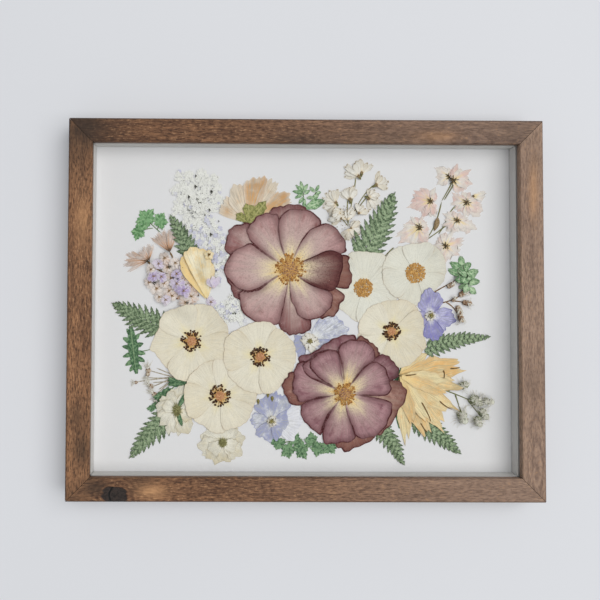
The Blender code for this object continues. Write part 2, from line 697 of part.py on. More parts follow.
def make_middle_layer(bed, colours):
    make_fan(
        bed, "peach_blossom", (-40, 71),
        [(164, 31, 7.5), (123, 33, 9), (94, 34, 9), (74, 37, 6.5), (47, 35, 8), (31, 32, 7.5),
         (152, 15, 4.5), (112, 17, 5), (66, 16, 4.5)],
        colours["peach"], slender=0.5,
    )
    make_fern(bed, "fern_small", (-93, 43), (-110, 76), 8.5, 7, -1, colours["fern"])
    make_fern(bed, "fern_left", (-113.5, -17), (-156.5, 4), 13.5, 9, 1.5, colours["fern"])
    make_fern(bed, "fern_lower_left", (-106, -84), (-141, -122), 12, 9, -1.5, colours["fern"])
    make_fern(bed, "fern_lower_middle", (61, -94), (82, -127), 9, 8, 1.5, colours["fern"])
    make_fern(bed, "fern_lower_right", (92, -90), (128.5, -118), 10.5, 9, 1, colours["fern"])
    make_fern(bed, "fern_upper", (46, 40), (75, 96), 15.5, 11, -2, colours["fern"])
    make_fan(
        bed, "yellow_petals", (-80, 7),
        [(125, 37, 6.5), (85, 30, 5), (95, 37, 6), (107, 44, 7)], colours["yellow"],
    )
    blossom = round_outline([(20, 12), (75, 19), (120, 13), (165, 17), (215, 14), (285, 22),
                             (330, 14)], 18)
    make_lace(bed, "green_eye_blossom", (-107, -80), blossom, colours["ivory"])
    blossom = round_outline([(0, 18), (60, 15), (130, 18), (200, 21), (260, 16), (320, 19)], 16)
    make_lace(bed, "ivory_blossom", (-65, -109), blossom, colours["ivory"])
    make_fan(
        bed, "alstroemeria", (80, -55),
        [(47, 30, 7), (9, 50, 11.5), (-10, 48, 9), (-85, 52, 6), (-66, 52, 8), (-50, 53, 9.5),
         (-32, 51, 8.5), (-5, 36, 6.5), (-57, 43, 6)],
        colours["apricot"], pointed=1.35,
    )
    make_fern(bed, "fern_right", (101, -32), (153.5, -23), 8.5, 10, 2, colours["fern"])
    make_fan(
        bed, "larkspur_lower", (-26, -91),
        [(118, 22, 10), (60, 24, 11), (8, 26, 11), (-45, 23, 10), (250, 20, 10), (186, 16, 10)],
        colours["blue_pale"], slender=0.7,
    )
    make_fan(
        bed, "larkspur_middle", (6, -27),
        [(133, 18, 9), (70, 22, 10), (22, 34, 9), (300, 20, 9), (225, 18, 10)],
        colours["blue_pale"], slender=0.7,
    )


def make_upper_layer(bed, colours):
    for number, values in enumerate(CREAM_FLOWERS[:4], start=1):
        make_cream_flower(bed, "cream_flower_%d" % number, *values, colours["cream"])
    make_fan(
        bed, "larkspur_right", (105, -6),
        [(88, 24, 9), (0, 22, 9), (-72, 20, 9), (235, 15, 8), (150, 13, 6)],
        colours["blue"], slender=0.7,
    )
    make_cream_flower(bed, "cream_flower_5", *CREAM_FLOWERS[4], colours["cream"])
    make_rose(bed, "rose_upper", ROSE_UPPER_CENTRE, ROSE_UPPER_PETALS, colours["rose"])
    make_cream_flower(bed, "cream_flower_6", *CREAM_FLOWERS[5], colours["cream"])
    make_rose(bed, "rose_lower", ROSE_LOWER_CENTRE, ROSE_LOWER_PETALS, colours["rose"])


def plant_colours():
    shades = {
        "lace": (0.76, 0.76, 0.72), "ivory": (0.76, 0.70, 0.55), "blush": (0.74, 0.55, 0.46),
        "bud": (0.30, 0.20, 0.12), "lilac": (0.58, 0.47, 0.58), "yellow": (0.75, 0.60, 0.30),
        "leaf_bright": (0.13, 0.30, 0.11), "leaf": (0.11, 0.23, 0.10),
        "leaf_dark": (0.05, 0.12, 0.05), "fern": (0.08, 0.17, 0.08), "peach": (0.75, 0.50, 0.28),
        "apricot": (0.76, 0.56, 0.27), "blue_pale": (0.42, 0.45, 0.68),
        "blue": (0.24, 0.26, 0.60), "cream": (0.76, 0.71, 0.55), "rose": (0.28, 0.15, 0.15),
    }
    return {name: make_material(name, shade) for name, shade in shades.items()}


def build():
    clear_scene()
    wood = make_material("stained_wood", (0.16, 0.09, 0.055), 0.55)
    glass = make_material("clear_glass", (0.9, 0.95, 0.93), 0.03, alpha=0.35)
    white = make_material("white_spacer", (0.75, 0.75, 0.73), 0.6)
    board = make_material("mount_board", (0.72, 0.73, 0.75), 0.8)
    fibre = make_material("backing_fibreboard", (0.27, 0.17, 0.10), 0.85)
    steel = make_material("zinc_steel", (0.55, 0.55, 0.56), 0.35, 1.0)
    brass = make_material("brassed_steel", (0.62, 0.48, 0.22), 0.35, 1.0)

    rails = make_rails(wood)
    make_sheet_of_stock("glass", GLASS_TOP, GLASS_THICKNESS, glass)
    make_spacers(white)
    make_sheet_of_stock("mount_board", BOARD_TOP, BOARD_THICKNESS, board)
    make_sheet_of_stock("backing_board", BACKING_TOP, BACKING_THICKNESS, fibre)
    make_framing_points(rails, steel)
    make_hanger(rails["top"], brass, steel)

    colours = plant_colours()
    bed = Bed()
    make_lowest_layer(bed, colours)
    make_middle_layer(bed, colours)
    make_upper_layer(bed, colours)


build()
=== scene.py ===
"""Looks of a pressed flower frame: a stained wooden frame, lying on its back, with roses,
cream blossoms, ferns and small flowers pressed on a white board behind clear glass."""
import math

import bmesh
import bpy
import numpy as np
from numpy.lib.stride_tricks import sliding_window_view
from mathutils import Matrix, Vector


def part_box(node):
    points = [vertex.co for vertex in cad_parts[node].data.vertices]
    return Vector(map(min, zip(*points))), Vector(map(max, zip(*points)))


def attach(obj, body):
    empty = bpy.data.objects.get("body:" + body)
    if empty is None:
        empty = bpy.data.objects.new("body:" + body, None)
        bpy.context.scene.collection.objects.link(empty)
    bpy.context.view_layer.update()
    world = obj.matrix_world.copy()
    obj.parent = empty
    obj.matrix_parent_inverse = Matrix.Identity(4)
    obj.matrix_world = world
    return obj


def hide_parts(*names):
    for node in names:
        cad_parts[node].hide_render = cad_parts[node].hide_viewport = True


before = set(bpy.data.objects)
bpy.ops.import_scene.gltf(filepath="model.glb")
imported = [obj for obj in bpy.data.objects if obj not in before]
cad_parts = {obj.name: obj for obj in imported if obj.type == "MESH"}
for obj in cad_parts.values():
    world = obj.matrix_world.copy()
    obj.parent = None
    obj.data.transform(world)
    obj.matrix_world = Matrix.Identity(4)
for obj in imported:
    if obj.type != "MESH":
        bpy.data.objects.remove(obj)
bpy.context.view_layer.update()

# ---- The four rails ----------------------------------------------------------------------
# Lengths of wood with the grain along them, mitred at the corners, stained walnut brown. Each keeps
# its solid's shape, with its long edges rounded. Towards the right, on the lamp's side, the stain
# is drawn greyer and paler: painted sheen. Along the frame's outer edges it is drawn darker:
# painted shade. The bottom rail has one black, cracked knot near its left end.
LONG_EDGE = 0.1                   # edges longer than this run the length of a rail
EDGE_ROUNDING = 0.0004
STAIN_LIGHT = (178, 130, 92)      # the left of the frame; towards the right, on the lamp's side, it is drawn greyer and paler as painted sheen
STAIN_DARK = (86, 57, 41)
# painted sheen: the greyer, paler stain drawn towards the right, on the lamp's side
SHEEN_GREY_LIGHT = (182, 152, 130)
SHEEN_GREY_DARK = (112, 90, 78)
PORE_BROWN = (58, 38, 29)
PATCH_BROWN = (62, 48, 38)
PATCH_PALE = (208, 158, 112)
SHEEN_TAN = (206, 160, 116)
# painted shade of the frame's rounded outer edges
EDGE_SHADE_BROWN = (50, 35, 27)
CHAR_DARK = (30, 26, 25)
CHAR_LIGHT = (54, 46, 42)
CRACK_BLACK = (8, 7, 7)
HALF_LENGTH = 0.1905              # of the frame's outside
HALF_HEIGHT = 0.1524
RAIL_GRAIN = {                    # rail: quarter turns, pattern shift, lightness
    "rail_top": (0, (0.31, 0.05, 0.0), -0.12), "rail_bottom": (0, (0.92, 0.35, 0.0), -0.04),
    "rail_left": (1, (1.63, 0.75, 0.0), 0.02), "rail_right": (1, (2.47, 0.15, 0.0), 0.0),
}
RAIL_FIGURES = {                  # rail: (place along and across, half sizes, has a black core)
    "rail_bottom": [(-0.1513, -0.1470, 0.0098, 0.0070, True)],
    "rail_right": [(-0.1250, -0.1832, 0.0260, 0.0050, False)],
    "rail_left": [(0.0620, 0.1690, 0.0200, 0.0070, False)],
    "rail_top": [(0.1180, 0.1360, 0.0220, 0.0060, False)],
}
STAIN_PATCHES = [                 # place, half sizes, strength; light where it is negative
    (-0.180, 0.143, 0.022, 0.016, 1.0), (-0.183, 0.118, 0.010, 0.016, 0.4),
    (-0.166, -0.140, 0.009, 0.007, 0.85), (-0.177, -0.112, 0.007, 0.013, 0.7),
    (-0.182, -0.085, 0.008, 0.010, 0.5), (-0.131, -0.137, 0.010, 0.005, 0.45),
    (-0.008, 0.136, 0.020, 0.004, 0.5), (0.060, 0.137, 0.030, 0.005, 0.3),
    (0.168, 0.140, 0.012, 0.008, 0.35), (0.183, 0.120, 0.006, 0.012, 0.3),
    (0.181, -0.060, 0.009, 0.014, 0.3), (0.182, 0.095, 0.003, 0.018, -0.6),
    (-0.178, 0.070, 0.004, 0.016, -0.5), (-0.122, -0.144, 0.009, 0.004, -0.8),
    (-0.185, -0.147, 0.012, 0.008, 0.45), (0.105, 0.139, 0.014, 0.004, -0.35),
]


def srgb(red, green, blue):
    """A screen colour of 0 to 255 as linear red, green, blue and an alpha of 1."""
    share = np.array([red, green, blue]) / 255
    linear = np.where(share > 0.04045, ((share + 0.055) / 1.055) ** 2.4, share / 12.92)
    return (*linear.tolist(), 1.0)


class Link:
    """An output in a material's node tree. Arithmetic on it adds Math nodes, also where the
    number stands on the left."""

    def __init__(self, tree, socket=None):
        self.tree = tree
        self.socket = socket

    def node(self, kind, settings, values, output=0):
        """Adds a node: makes its settings, fills its sockets with values or links, and gives
        the output asked for."""
        made = self.tree.nodes.new("ShaderNode" + kind)
        for key, value in settings.items():
            setattr(made, key, value)
        for key, value in values.items():
            if isinstance(value, Link):
                self.tree.links.new(value.socket, made.inputs[key])
            else:
                made.inputs[key].default_value = value
        return Link(self.tree, made.outputs[output])

    def place(self, kind="Object"):
        """Where the point lies: in the object's own space, or in its UV map."""
        return self.node("TexCoord", {}, {}, kind)

    def attribute(self, name):
        return self.node("Attribute", {"attribute_name": name}, {}, "Fac")

    def math(self, operation, *numbers):
        return self.node("Math", {"operation": operation}, dict(enumerate(numbers)))

    def __add__(self, other):
        return self.math("ADD", self, other)

    def __radd__(self, other):
        return self.math("ADD", other, self)

    def __sub__(self, other):
        return self.math("SUBTRACT", self, other)

    def __rsub__(self, other):
        return self.math("SUBTRACT", other, self)

    def __mul__(self, other):
        return self.math("MULTIPLY", self, other)

    def __rmul__(self, other):
        return self.math("MULTIPLY", other, self)

    def __truediv__(self, other):
        return self.math("DIVIDE", self, other)

    def __abs__(self):
        return self.math("ABSOLUTE", self)

    def rise(self, start, stop):
        """0 below start and 1 above stop, with a smooth rise between them."""
        values = {"Value": self, "From Min": start, "From Max": stop}
        return self.node("MapRange", {"interpolation_type": "SMOOTHSTEP"}, values)

    def mix(self, low, high):
        """The colour this share of the way from low to high."""
        return self.node("Mix", {"data_type": "RGBA"}, {0: self, 6: low, 7: high}, 2)

    def axes(self):
        """The three numbers of a vector."""
        parts = self.node("SeparateXYZ", {}, {0: self}).socket.node.outputs
        return [Link(self.tree, part) for part in parts]

    def noise(self, stretch, detail=2.0, roughness=0.5):
        """Noise from 0 to 1, read at this vector times a stretch, of one number or three."""
        scale = stretch if isinstance(stretch, tuple) else (stretch,) * 3
        at = self.node("Mapping", {}, {"Vector": self, "Scale": scale})
        values = {"Vector": at, "Scale": 1.0, "Detail": detail, "Roughness": roughness}
        return at.node("TexNoise", {}, values)


def begin_finish(name):
    """A new material, and a link from which its nodes are added."""
    made = bpy.data.materials.new(name)
    made.use_nodes = True
    return made, Link(made.node_tree)


def end_finish(material, colour, roughness, height=None, depth=0.0002, **settings):
    """Feeds the material's shader. The height, times a depth in metres, gives its bumps."""
    shader = material.node_tree.nodes["Principled BSDF"]
    sockets = {"Base Color": colour, "Roughness": roughness}
    if height is not None:
        sockets["Normal"] = height.node("Bump", {}, {"Height": height, "Distance": depth})
    for key, value in settings.items():
        sockets[key.replace("_", " ").title().replace("Ior", "IOR")] = value
    for key, value in sockets.items():
        if isinstance(value, Link):
            material.node_tree.links.new(value.socket, shader.inputs[key])
        else:
            shader.inputs[key].default_value = value


def stained_wood(name, turns, shift, lightness, figures):
    """Stained wood. Its tone follows noise drawn out along the grain, with dark pores as short
    dashes. Near a figure the grain lines part by a bell curve, and growth rings close round
    it as contour lines of the distance. Soft patches are bell curves of the place."""
    material, start = begin_finish(name)
    spot = start.place()
    side_x, side_y, _ = spot.axes()
    turned = spot.node("Mapping", {}, {"Vector": spot, "Rotation": (0, 0, -turns * math.pi / 2)})
    along, across, up = turned.axes()
    wobble = (turned.noise((60, 190, 190), 3.0) - 0.5) * 0.9
    rings, cores, cracks, flow = 0.0 * along, 0.0 * along, 0.0 * along, across
    for place_along, place_across, half_long, half_wide, black in figures:
        ahead = (along - place_along) / half_long
        aside = (across - place_across) / half_wide
        distance = start.math("SQRT", ahead * ahead + aside * aside) + wobble
        bell = start.math("EXPONENT", (ahead * ahead + aside * aside) * -0.4)
        flow = flow - aside * bell * half_wide * 0.8
        ring = start.math("SINE", distance * (14.0 if black else 9.0)) * 0.5 + 0.5
        rings = rings + ring * (2.6 - distance).rise(0.0, 1.8) * (0.8 if black else 0.5)
        if black:
            crack = abs(ahead + 0.42 - aside * aside * 0.3 + wobble * 0.2)
            cores = (1.12 - distance).rise(0.0, 0.12)
            cracks = cores * (0.10 - crack).rise(0.0, 0.06)
    at = start.node("CombineXYZ", {}, {0: along + shift[0], 1: flow + shift[1], 2: up})
    streaks = at.noise((9, 120, 120), 4.0, 0.6)
    bands = at.noise((4, 40, 40), 2.0)
    fibres = at.noise((70, 620, 620), 3.0, 0.6)
    pores = at.noise((230, 1150, 1150), 2.0, 0.6)
    curls = spot.noise(520, 3.0, 0.65)
    tone = streaks * 0.5 + bands * 0.35 + fibres * 0.45 + curls * 0.45 - rings * 0.28
    # painted sheen: towards the right, on the lamp's side, the stain turns greyer and paler, and
    # its pores and tan flecks fade
    lamp_side_sheen = (side_x + (bands - 0.5) * 0.08).rise(-0.10, 0.19)
    dark = lamp_side_sheen.mix(srgb(*STAIN_DARK), srgb(*SHEEN_GREY_DARK))
    light = lamp_side_sheen.mix(srgb(*STAIN_LIGHT), srgb(*SHEEN_GREY_LIGHT))
    colour = (tone + lightness).rise(0.55, 1.2).mix(dark, light)
    dashes = (pores * 0.6 + curls * 0.4).rise(0.50, 0.60)
    colour = (dashes * (0.75 - lamp_side_sheen * 0.4)).mix(colour, srgb(*PORE_BROWN))
    sheen = (pores * 0.5 + curls * 0.5).rise(0.46, 0.36)
    colour = (sheen * (0.5 - lamp_side_sheen * 0.2)).mix(colour, srgb(*SHEEN_TAN))
    for place_x, place_y, half_x, half_y, strength in STAIN_PATCHES:
        ahead = (side_x - place_x) / half_x
        aside = (side_y - place_y) / half_y
        reach = (ahead * ahead + aside * aside) * -0.7 + wobble
        share = start.math("EXPONENT", reach) * (0.6 + fibres * 0.6) * abs(strength)
        share = start.math("MINIMUM", share, 0.9)
        colour = share.mix(colour, srgb(*(PATCH_BROWN if strength > 0 else PATCH_PALE)))
    # painted shade: the stain is drawn darker towards the frame's rounded outer edges
    outer_edge_shade = start.math("MAXIMUM", abs(side_x) - HALF_LENGTH, abs(side_y) - HALF_HEIGHT)
    outer_edge_shade = (outer_edge_shade + fibres * 0.0012).rise(-0.0012, 0.0006)
    colour = (outer_edge_shade * 0.5).mix(colour, srgb(*EDGE_SHADE_BROWN))
    char = curls.rise(0.4, 0.6).mix(srgb(*CHAR_DARK), srgb(*CHAR_LIGHT))
    colour = (cores * 0.96).mix(colour, char)
    colour = cracks.mix(colour, srgb(*CRACK_BLACK))
    height = fibres * 0.4 + streaks * 0.3 - dashes * 0.5 - rings * 0.1 - cores * 0.5 - cracks * 0.5
    rough = 0.5 + fibres * 0.25
    end_finish(material, colour, rough, height, 0.0003, specular_ior_level=0.3)
    return material


def round_rail(node, finish):
    """A copy of a rail with its loose triangles joined and its long edges rounded."""
    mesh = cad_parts[node].data.copy()
    rail = bpy.data.objects.new("rounded_" + node, mesh)
    bpy.context.scene.collection.objects.link(rail)
    shell = bmesh.new()
    shell.from_mesh(mesh)
    bmesh.ops.remove_doubles(shell, verts=shell.verts, dist=1e-6)
    bmesh.ops.dissolve_limit(
        shell, angle_limit=math.radians(1), verts=shell.verts, edges=shell.edges
    )
    weights = shell.edges.layers.float.new("bevel_weight_edge")
    for edge in shell.edges:
        edge[weights] = float(edge.calc_length() > LONG_EDGE)
    shell.to_mesh(mesh)
    shell.free()
    rounding = rail.modifiers.new("rounded edges", "BEVEL")
    rounding.limit_method = "WEIGHT"
    rounding.width = EDGE_ROUNDING
    rounding.segments = 3
    mesh.materials.clear()
    mesh.materials.append(finish)
    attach(rail, "root")
    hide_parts(node)


for rail_name, grain in RAIL_GRAIN.items():
    round_rail(rail_name, stained_wood(rail_name + "_stain", *grain, RAIL_FIGURES[rail_name]))


# ---- Glass -------------------------------------------------------------------------------
# One sheet of clear float glass. It lies under the lip and keeps its solid's shape. The lamp
# shines straight through it, and it is drawn without the mirror image that real glass has.
GLASS_TINT = (0.985, 1.0, 0.99, 1.0)
GLASS_IOR = 1.01                  # real glass has 1.5; at 1.06 stray lamp dots still showed


def clear_glass():
    """Plain clear glass. Rays from the lamps and rays between surfaces pass it unbent, so
    that what lies behind it gets its light once."""
    material, start = begin_finish("clear_glass")
    end_finish(material, GLASS_TINT, 0.0, ior=GLASS_IOR, transmission_weight=1.0)
    shown = Link(material.node_tree, material.node_tree.nodes["Principled BSDF"].outputs[0])
    for ray in ("Is Diffuse Ray", "Is Glossy Ray", "Is Shadow Ray"):
        which = start.node("LightPath", {}, {}, ray)
        passing = start.node("BsdfTransparent", {}, {})
        shown = start.node("MixShader", {}, {0: which, 1: shown, 2: passing})
    output = material.node_tree.nodes["Material Output"]
    material.node_tree.links.new(shown.socket, output.inputs["Surface"])
    return material


def dress(node, finish):
    """Gives a solid that keeps its own shape a finish."""
    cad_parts[node].material_slots[0].material = finish


dress("glass", clear_glass())


# ---- Spacer strips, mount board and backing ----------------------------------------------
# Matt white strips line the rabbet between board and glass; they are drawn like the board, as the
# photograph doesn't show what they are made of, but a little greyer: painted shade of the narrow
# space between glass and board. The white mount board has a slightly fibrous face; the backing is
# brown hardboard with its smooth side out.
# painted shade: the strips' white is drawn greyer than the board's
SPACER_SHADED_WHITE = (216, 214, 211)
BOARD_WHITE = (231, 231, 232)
HARDBOARD_BROWN = (118, 84, 54)
HARDBOARD_DARK = (84, 57, 36)


def darker(colour, share):
    """This share of a screen colour's light, as a linear colour."""
    return (*(np.array(srgb(*colour)[:3]) * share).tolist(), 1.0)


def card_finish(name, white, grain):
    """White card with faint clouds of tone and a fine fibrous grain."""
    material, start = begin_finish(name)
    spot = start.place()
    clouds = spot.noise(14, 3.0)
    fibres = spot.noise(grain, 4.0, 0.7)
    colour = (clouds * 0.5 + fibres * 0.4 - 0.15).mix(srgb(*white), darker(white, 0.93))
    end_finish(material, colour, 0.8, fibres, 0.00005, specular_ior_level=0.2)
    return material


def hardboard_finish():
    """Pressed wood fibre: short pale and dark fibres over brown."""
    material, start = begin_finish("smooth_hardboard")
    spot = start.place()
    fibres = spot.noise((900, 260, 400), 4.0, 0.7)
    flecks = spot.noise((240, 900, 400), 3.0, 0.7)
    clouds = spot.noise(18, 2.0)
    tone = (fibres + flecks + clouds * 0.5).rise(0.95, 1.6)
    colour = tone.mix(srgb(*HARDBOARD_DARK), srgb(*HARDBOARD_BROWN))
    end_finish(material, colour, 0.45 + fibres * 0.25, fibres, 0.00006)
    return material


shaded_spacer_white = card_finish("matt_shaded_white_spacer", SPACER_SHADED_WHITE, 900)
for side in ("top", "bottom", "left", "right"):
    dress("spacer_" + side, shaded_spacer_white)
dress("mount_board", card_finish("white_mount_board", BOARD_WHITE, 1500))
dress("backing_board", hardboard_finish())


# ---- Framing points, hanger and nails ----------------------------------------------------
# Zinc-plated steel points hold the backing; a brass-plated sawtooth hanger is nailed in the
# pocket at the back. Points and hanger are thin stampings. They and the two nails keep their
# solids' shapes.
ZINC_GREY = (168, 170, 172)
BRASS_YELLOW = (190, 156, 92)


def plated_metal(name, tint, roughness):
    """Plated steel with fine rolling lines and dull blotches."""
    material, start = begin_finish(name)
    spot = start.place()
    lines = spot.noise((150, 5000, 2000), 2.0)
    blotches = spot.noise(700, 3.0)
    colour = blotches.rise(0.45, 0.75).mix(srgb(*tint), darker(tint, 0.6))
    rough = roughness + blotches * 0.2 + lines * 0.1
    end_finish(material, colour, rough, lines, 0.00002, metallic=1.0)
    return material


zinc = plated_metal("zinc_plated_steel", ZINC_GREY, 0.25)
for number in range(1, 7):
    dress("framing_point_%d" % number, zinc)
dress("hanger_nail_left", zinc)
dress("hanger_nail_right", zinc)
dress("sawtooth_hanger", plated_metal("brass_plated_steel", BRASS_YELLOW, 0.2))


# ---- Lace flower -------------------------------------------------------------------------
# Umbels of tiny white florets on hair-thin rays, pressed into a pale, crinkled mass. They lie
# straight on the board, so they are laid first. Plant sizes are in millimetres from here on.
MM = 0.001
BED_CELL = 0.6                    # cell of the height grid
AIR = 0.05                        # left under each sheet
PRESSED = 0.62                    # pressing leaves this share of the pile's loose height
STEM_HEIGHT = 0.7                 # of a pressed stem, for its width
FLORET_LOBES = 5
FLORET_NOTCH = 0.42               # reach between two petals, for a reach of 1
FLORET_CUP = 0.3
FLORET_LIFT = 1.3
LACE_WHITE = (246, 246, 240)
LACE_SHADE = (206, 210, 196)
LACE_LILAC = (206, 206, 232)
RAY_GREEN = (150, 156, 132)
SPECK_BROWN = (74, 70, 50)
LACE_UMBELS = {                   # node: centres, radii, rays, florets to a ray, lilac share
    "lace_upper": ((-88.5, 92.0), (22.0, 22.5), 27, 10, 0.05),
    "lace_lower": ((-80.5, 45.0), (21.0, 29.0), 26, 9, 0.45),
    "lace_small": ((-58.5, -1.0), (12.5, 11.5), 10, 8, 0.2),
}
LACE_SEEDS = {                    # node: dark seed heads, centre and radius
    "lace_upper": [(-89.3, 100.6, 1.0), (-94.7, 91.9, 0.9), (-76.1, 96.4, 1.0), (-77.7, 81.2, 0.8),
                   (-89.1, 109.4, 0.7), (-88.1, 90.3, 0.5), (-86.5, 86.5, 0.5), (-81.5, 77.0, 0.6)],
    "lace_lower": [(-76.4, 60.9, 1.0), (-70.0, 72.0, 0.5), (-72.0, 31.0, 0.6)],
    "lace_small": [(-56.0, -4.0, 0.6)],
}


class Bed:
    """Heights of what lies on the board, in square cells, in millimetres."""

    def __init__(self, low, high, level):
        self.low = np.array(low) - 30.0
        size = np.ceil((np.array(high) + 30.0 - self.low) / BED_CELL).astype(int)
        self.heights = np.full((size[1], size[0]), level)

    def under(self, places, spread):
        """The smooth surface that clears the bed at some places: each cell takes the highest
        height within the spread, and then the mean over the same distance."""
        steps = max(1, round(spread / BED_CELL))
        at = (places - self.low) / BED_CELL
        first = np.floor(at.reshape(-1, 2).min(axis=0)).astype(int) - 2 * steps
        last = np.ceil(at.reshape(-1, 2).max(axis=0)).astype(int) + 2 * steps + 2
        patch = self.heights[first[1]:last[1], first[0]:last[0]]
        for reduce in (np.max, np.mean):
            for axis in (0, 1):
                window = sliding_window_view(patch, 2 * steps + 1, axis=axis)
                patch = reduce(window, axis=-1)
        at = at - first - 2 * steps
        cell = np.floor(at).astype(int)
        share = at - cell
        column, row = cell[..., 0], cell[..., 1]
        lower = patch[row, column] * (1 - share[..., 0])
        lower = lower + patch[row, column + 1] * share[..., 0]
        upper = patch[row + 1, column] * (1 - share[..., 0])
        upper = upper + patch[row + 1, column + 1] * share[..., 0]
        return lower * (1 - share[..., 1]) + upper * share[..., 1]

    def add(self, grid):
        """Raises the cells under a grid of points, drawn finer than a cell, to its height."""
        for axis in (0, 1):
            gaps = np.linalg.norm(np.diff(grid[..., :2], axis=axis), axis=-1)
            parts = int(np.ceil(gaps.max() / (0.8 * BED_CELL)))
            count = grid.shape[axis]
            at = np.linspace(0, count - 1, (count - 1) * max(1, parts) + 1)
            before = np.minimum(at.astype(int), count - 2)
            share = np.expand_dims(at - before, [1 - axis, 2])
            first = np.take(grid, before, axis=axis)
            grid = first * (1 - share) + np.take(grid, before + 1, axis=axis) * share
        cells = np.round((grid[..., :2] - self.low) / BED_CELL).astype(int)
        np.maximum.at(self.heights, (cells[..., 1], cells[..., 0]), grid[..., 2])


board_low, board_high = (np.array(corner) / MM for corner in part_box("mount_board"))
BOARD_LEVEL = board_high[2]
bed = Bed(board_low[:2], board_high[:2], BOARD_LEVEL)


def sheet_faces(rows, columns, wraps):
    """Faces of a thin closed sheet: a top grid, the same grid turned over beneath it, and the
    rim between them. A sheet that wraps has a rim only round its last row."""
    index = np.arange(rows * columns).reshape(rows, columns)
    corners = [index[:-1, :-1], index[1:, :-1], index[1:, 1:], index[:-1, 1:]]
    top = np.stack(corners, axis=-1).reshape(-1, 4)
    loop = index[-1]
    if not wraps:
        sides = [index[:, 0], index[-1, 1:], index[-2::-1, -1], index[0, -2::-1]]
        loop = np.concatenate(sides)
    below = rows * columns
    rim = np.stack([loop[:-1] + below, loop[1:] + below, loop[1:], loop[:-1]], axis=-1)
    return np.concatenate([top, top[:, ::-1] + below, rim])


def tube_faces(stations, sides):
    """Faces of a tube whose rings of points follow one another; its ends close to a point."""
    index = np.arange(stations * sides).reshape(stations, sides)
    after = np.roll(index, -1, axis=1)
    return np.stack([index[:-1], after[:-1], after[1:], index[1:]], axis=-1).reshape(-1, 4)


def bent(points, stations):
    """Places along the smooth curve that a few control points pull on (Bernstein weights)."""
    points = np.asarray(points, float)
    order = len(points) - 1
    t = np.linspace(0, 1, stations)[:, None]
    weights = [math.comb(order, k) * t ** k * (1 - t) ** (order - k) for k in range(order + 1)]
    return sum(weight * point for weight, point in zip(weights, points))


def drawn_through(points, count):
    """Places along the smooth curve that passes through some points (Catmull-Rom weights)."""
    points = np.asarray(points, float)
    before, after = 2 * points[:1] - points[1:2], 2 * points[-1:] - points[-2:-1]
    padded = np.concatenate([before, points, after])
    at = np.linspace(0, len(points) - 1, count)
    first = np.minimum(at.astype(int), len(points) - 2)
    u = (at - first)[:, None]
    a, b, c, d = (padded[first + step] for step in range(4))
    bend = (2 * a - 5 * b + 4 * c - d) * u ** 2 + (3 * b - a - 3 * c + d) * u ** 3
    return b + 0.5 * ((c - a) * u + bend)


def turned(flat, degrees, place):
    """Flat points turned anticlockwise about the origin and then moved to a place."""
    angle = math.radians(degrees)
    spin = np.array([[math.cos(angle), math.sin(angle)], [-math.sin(angle), math.cos(angle)]])
    return flat @ spin + place


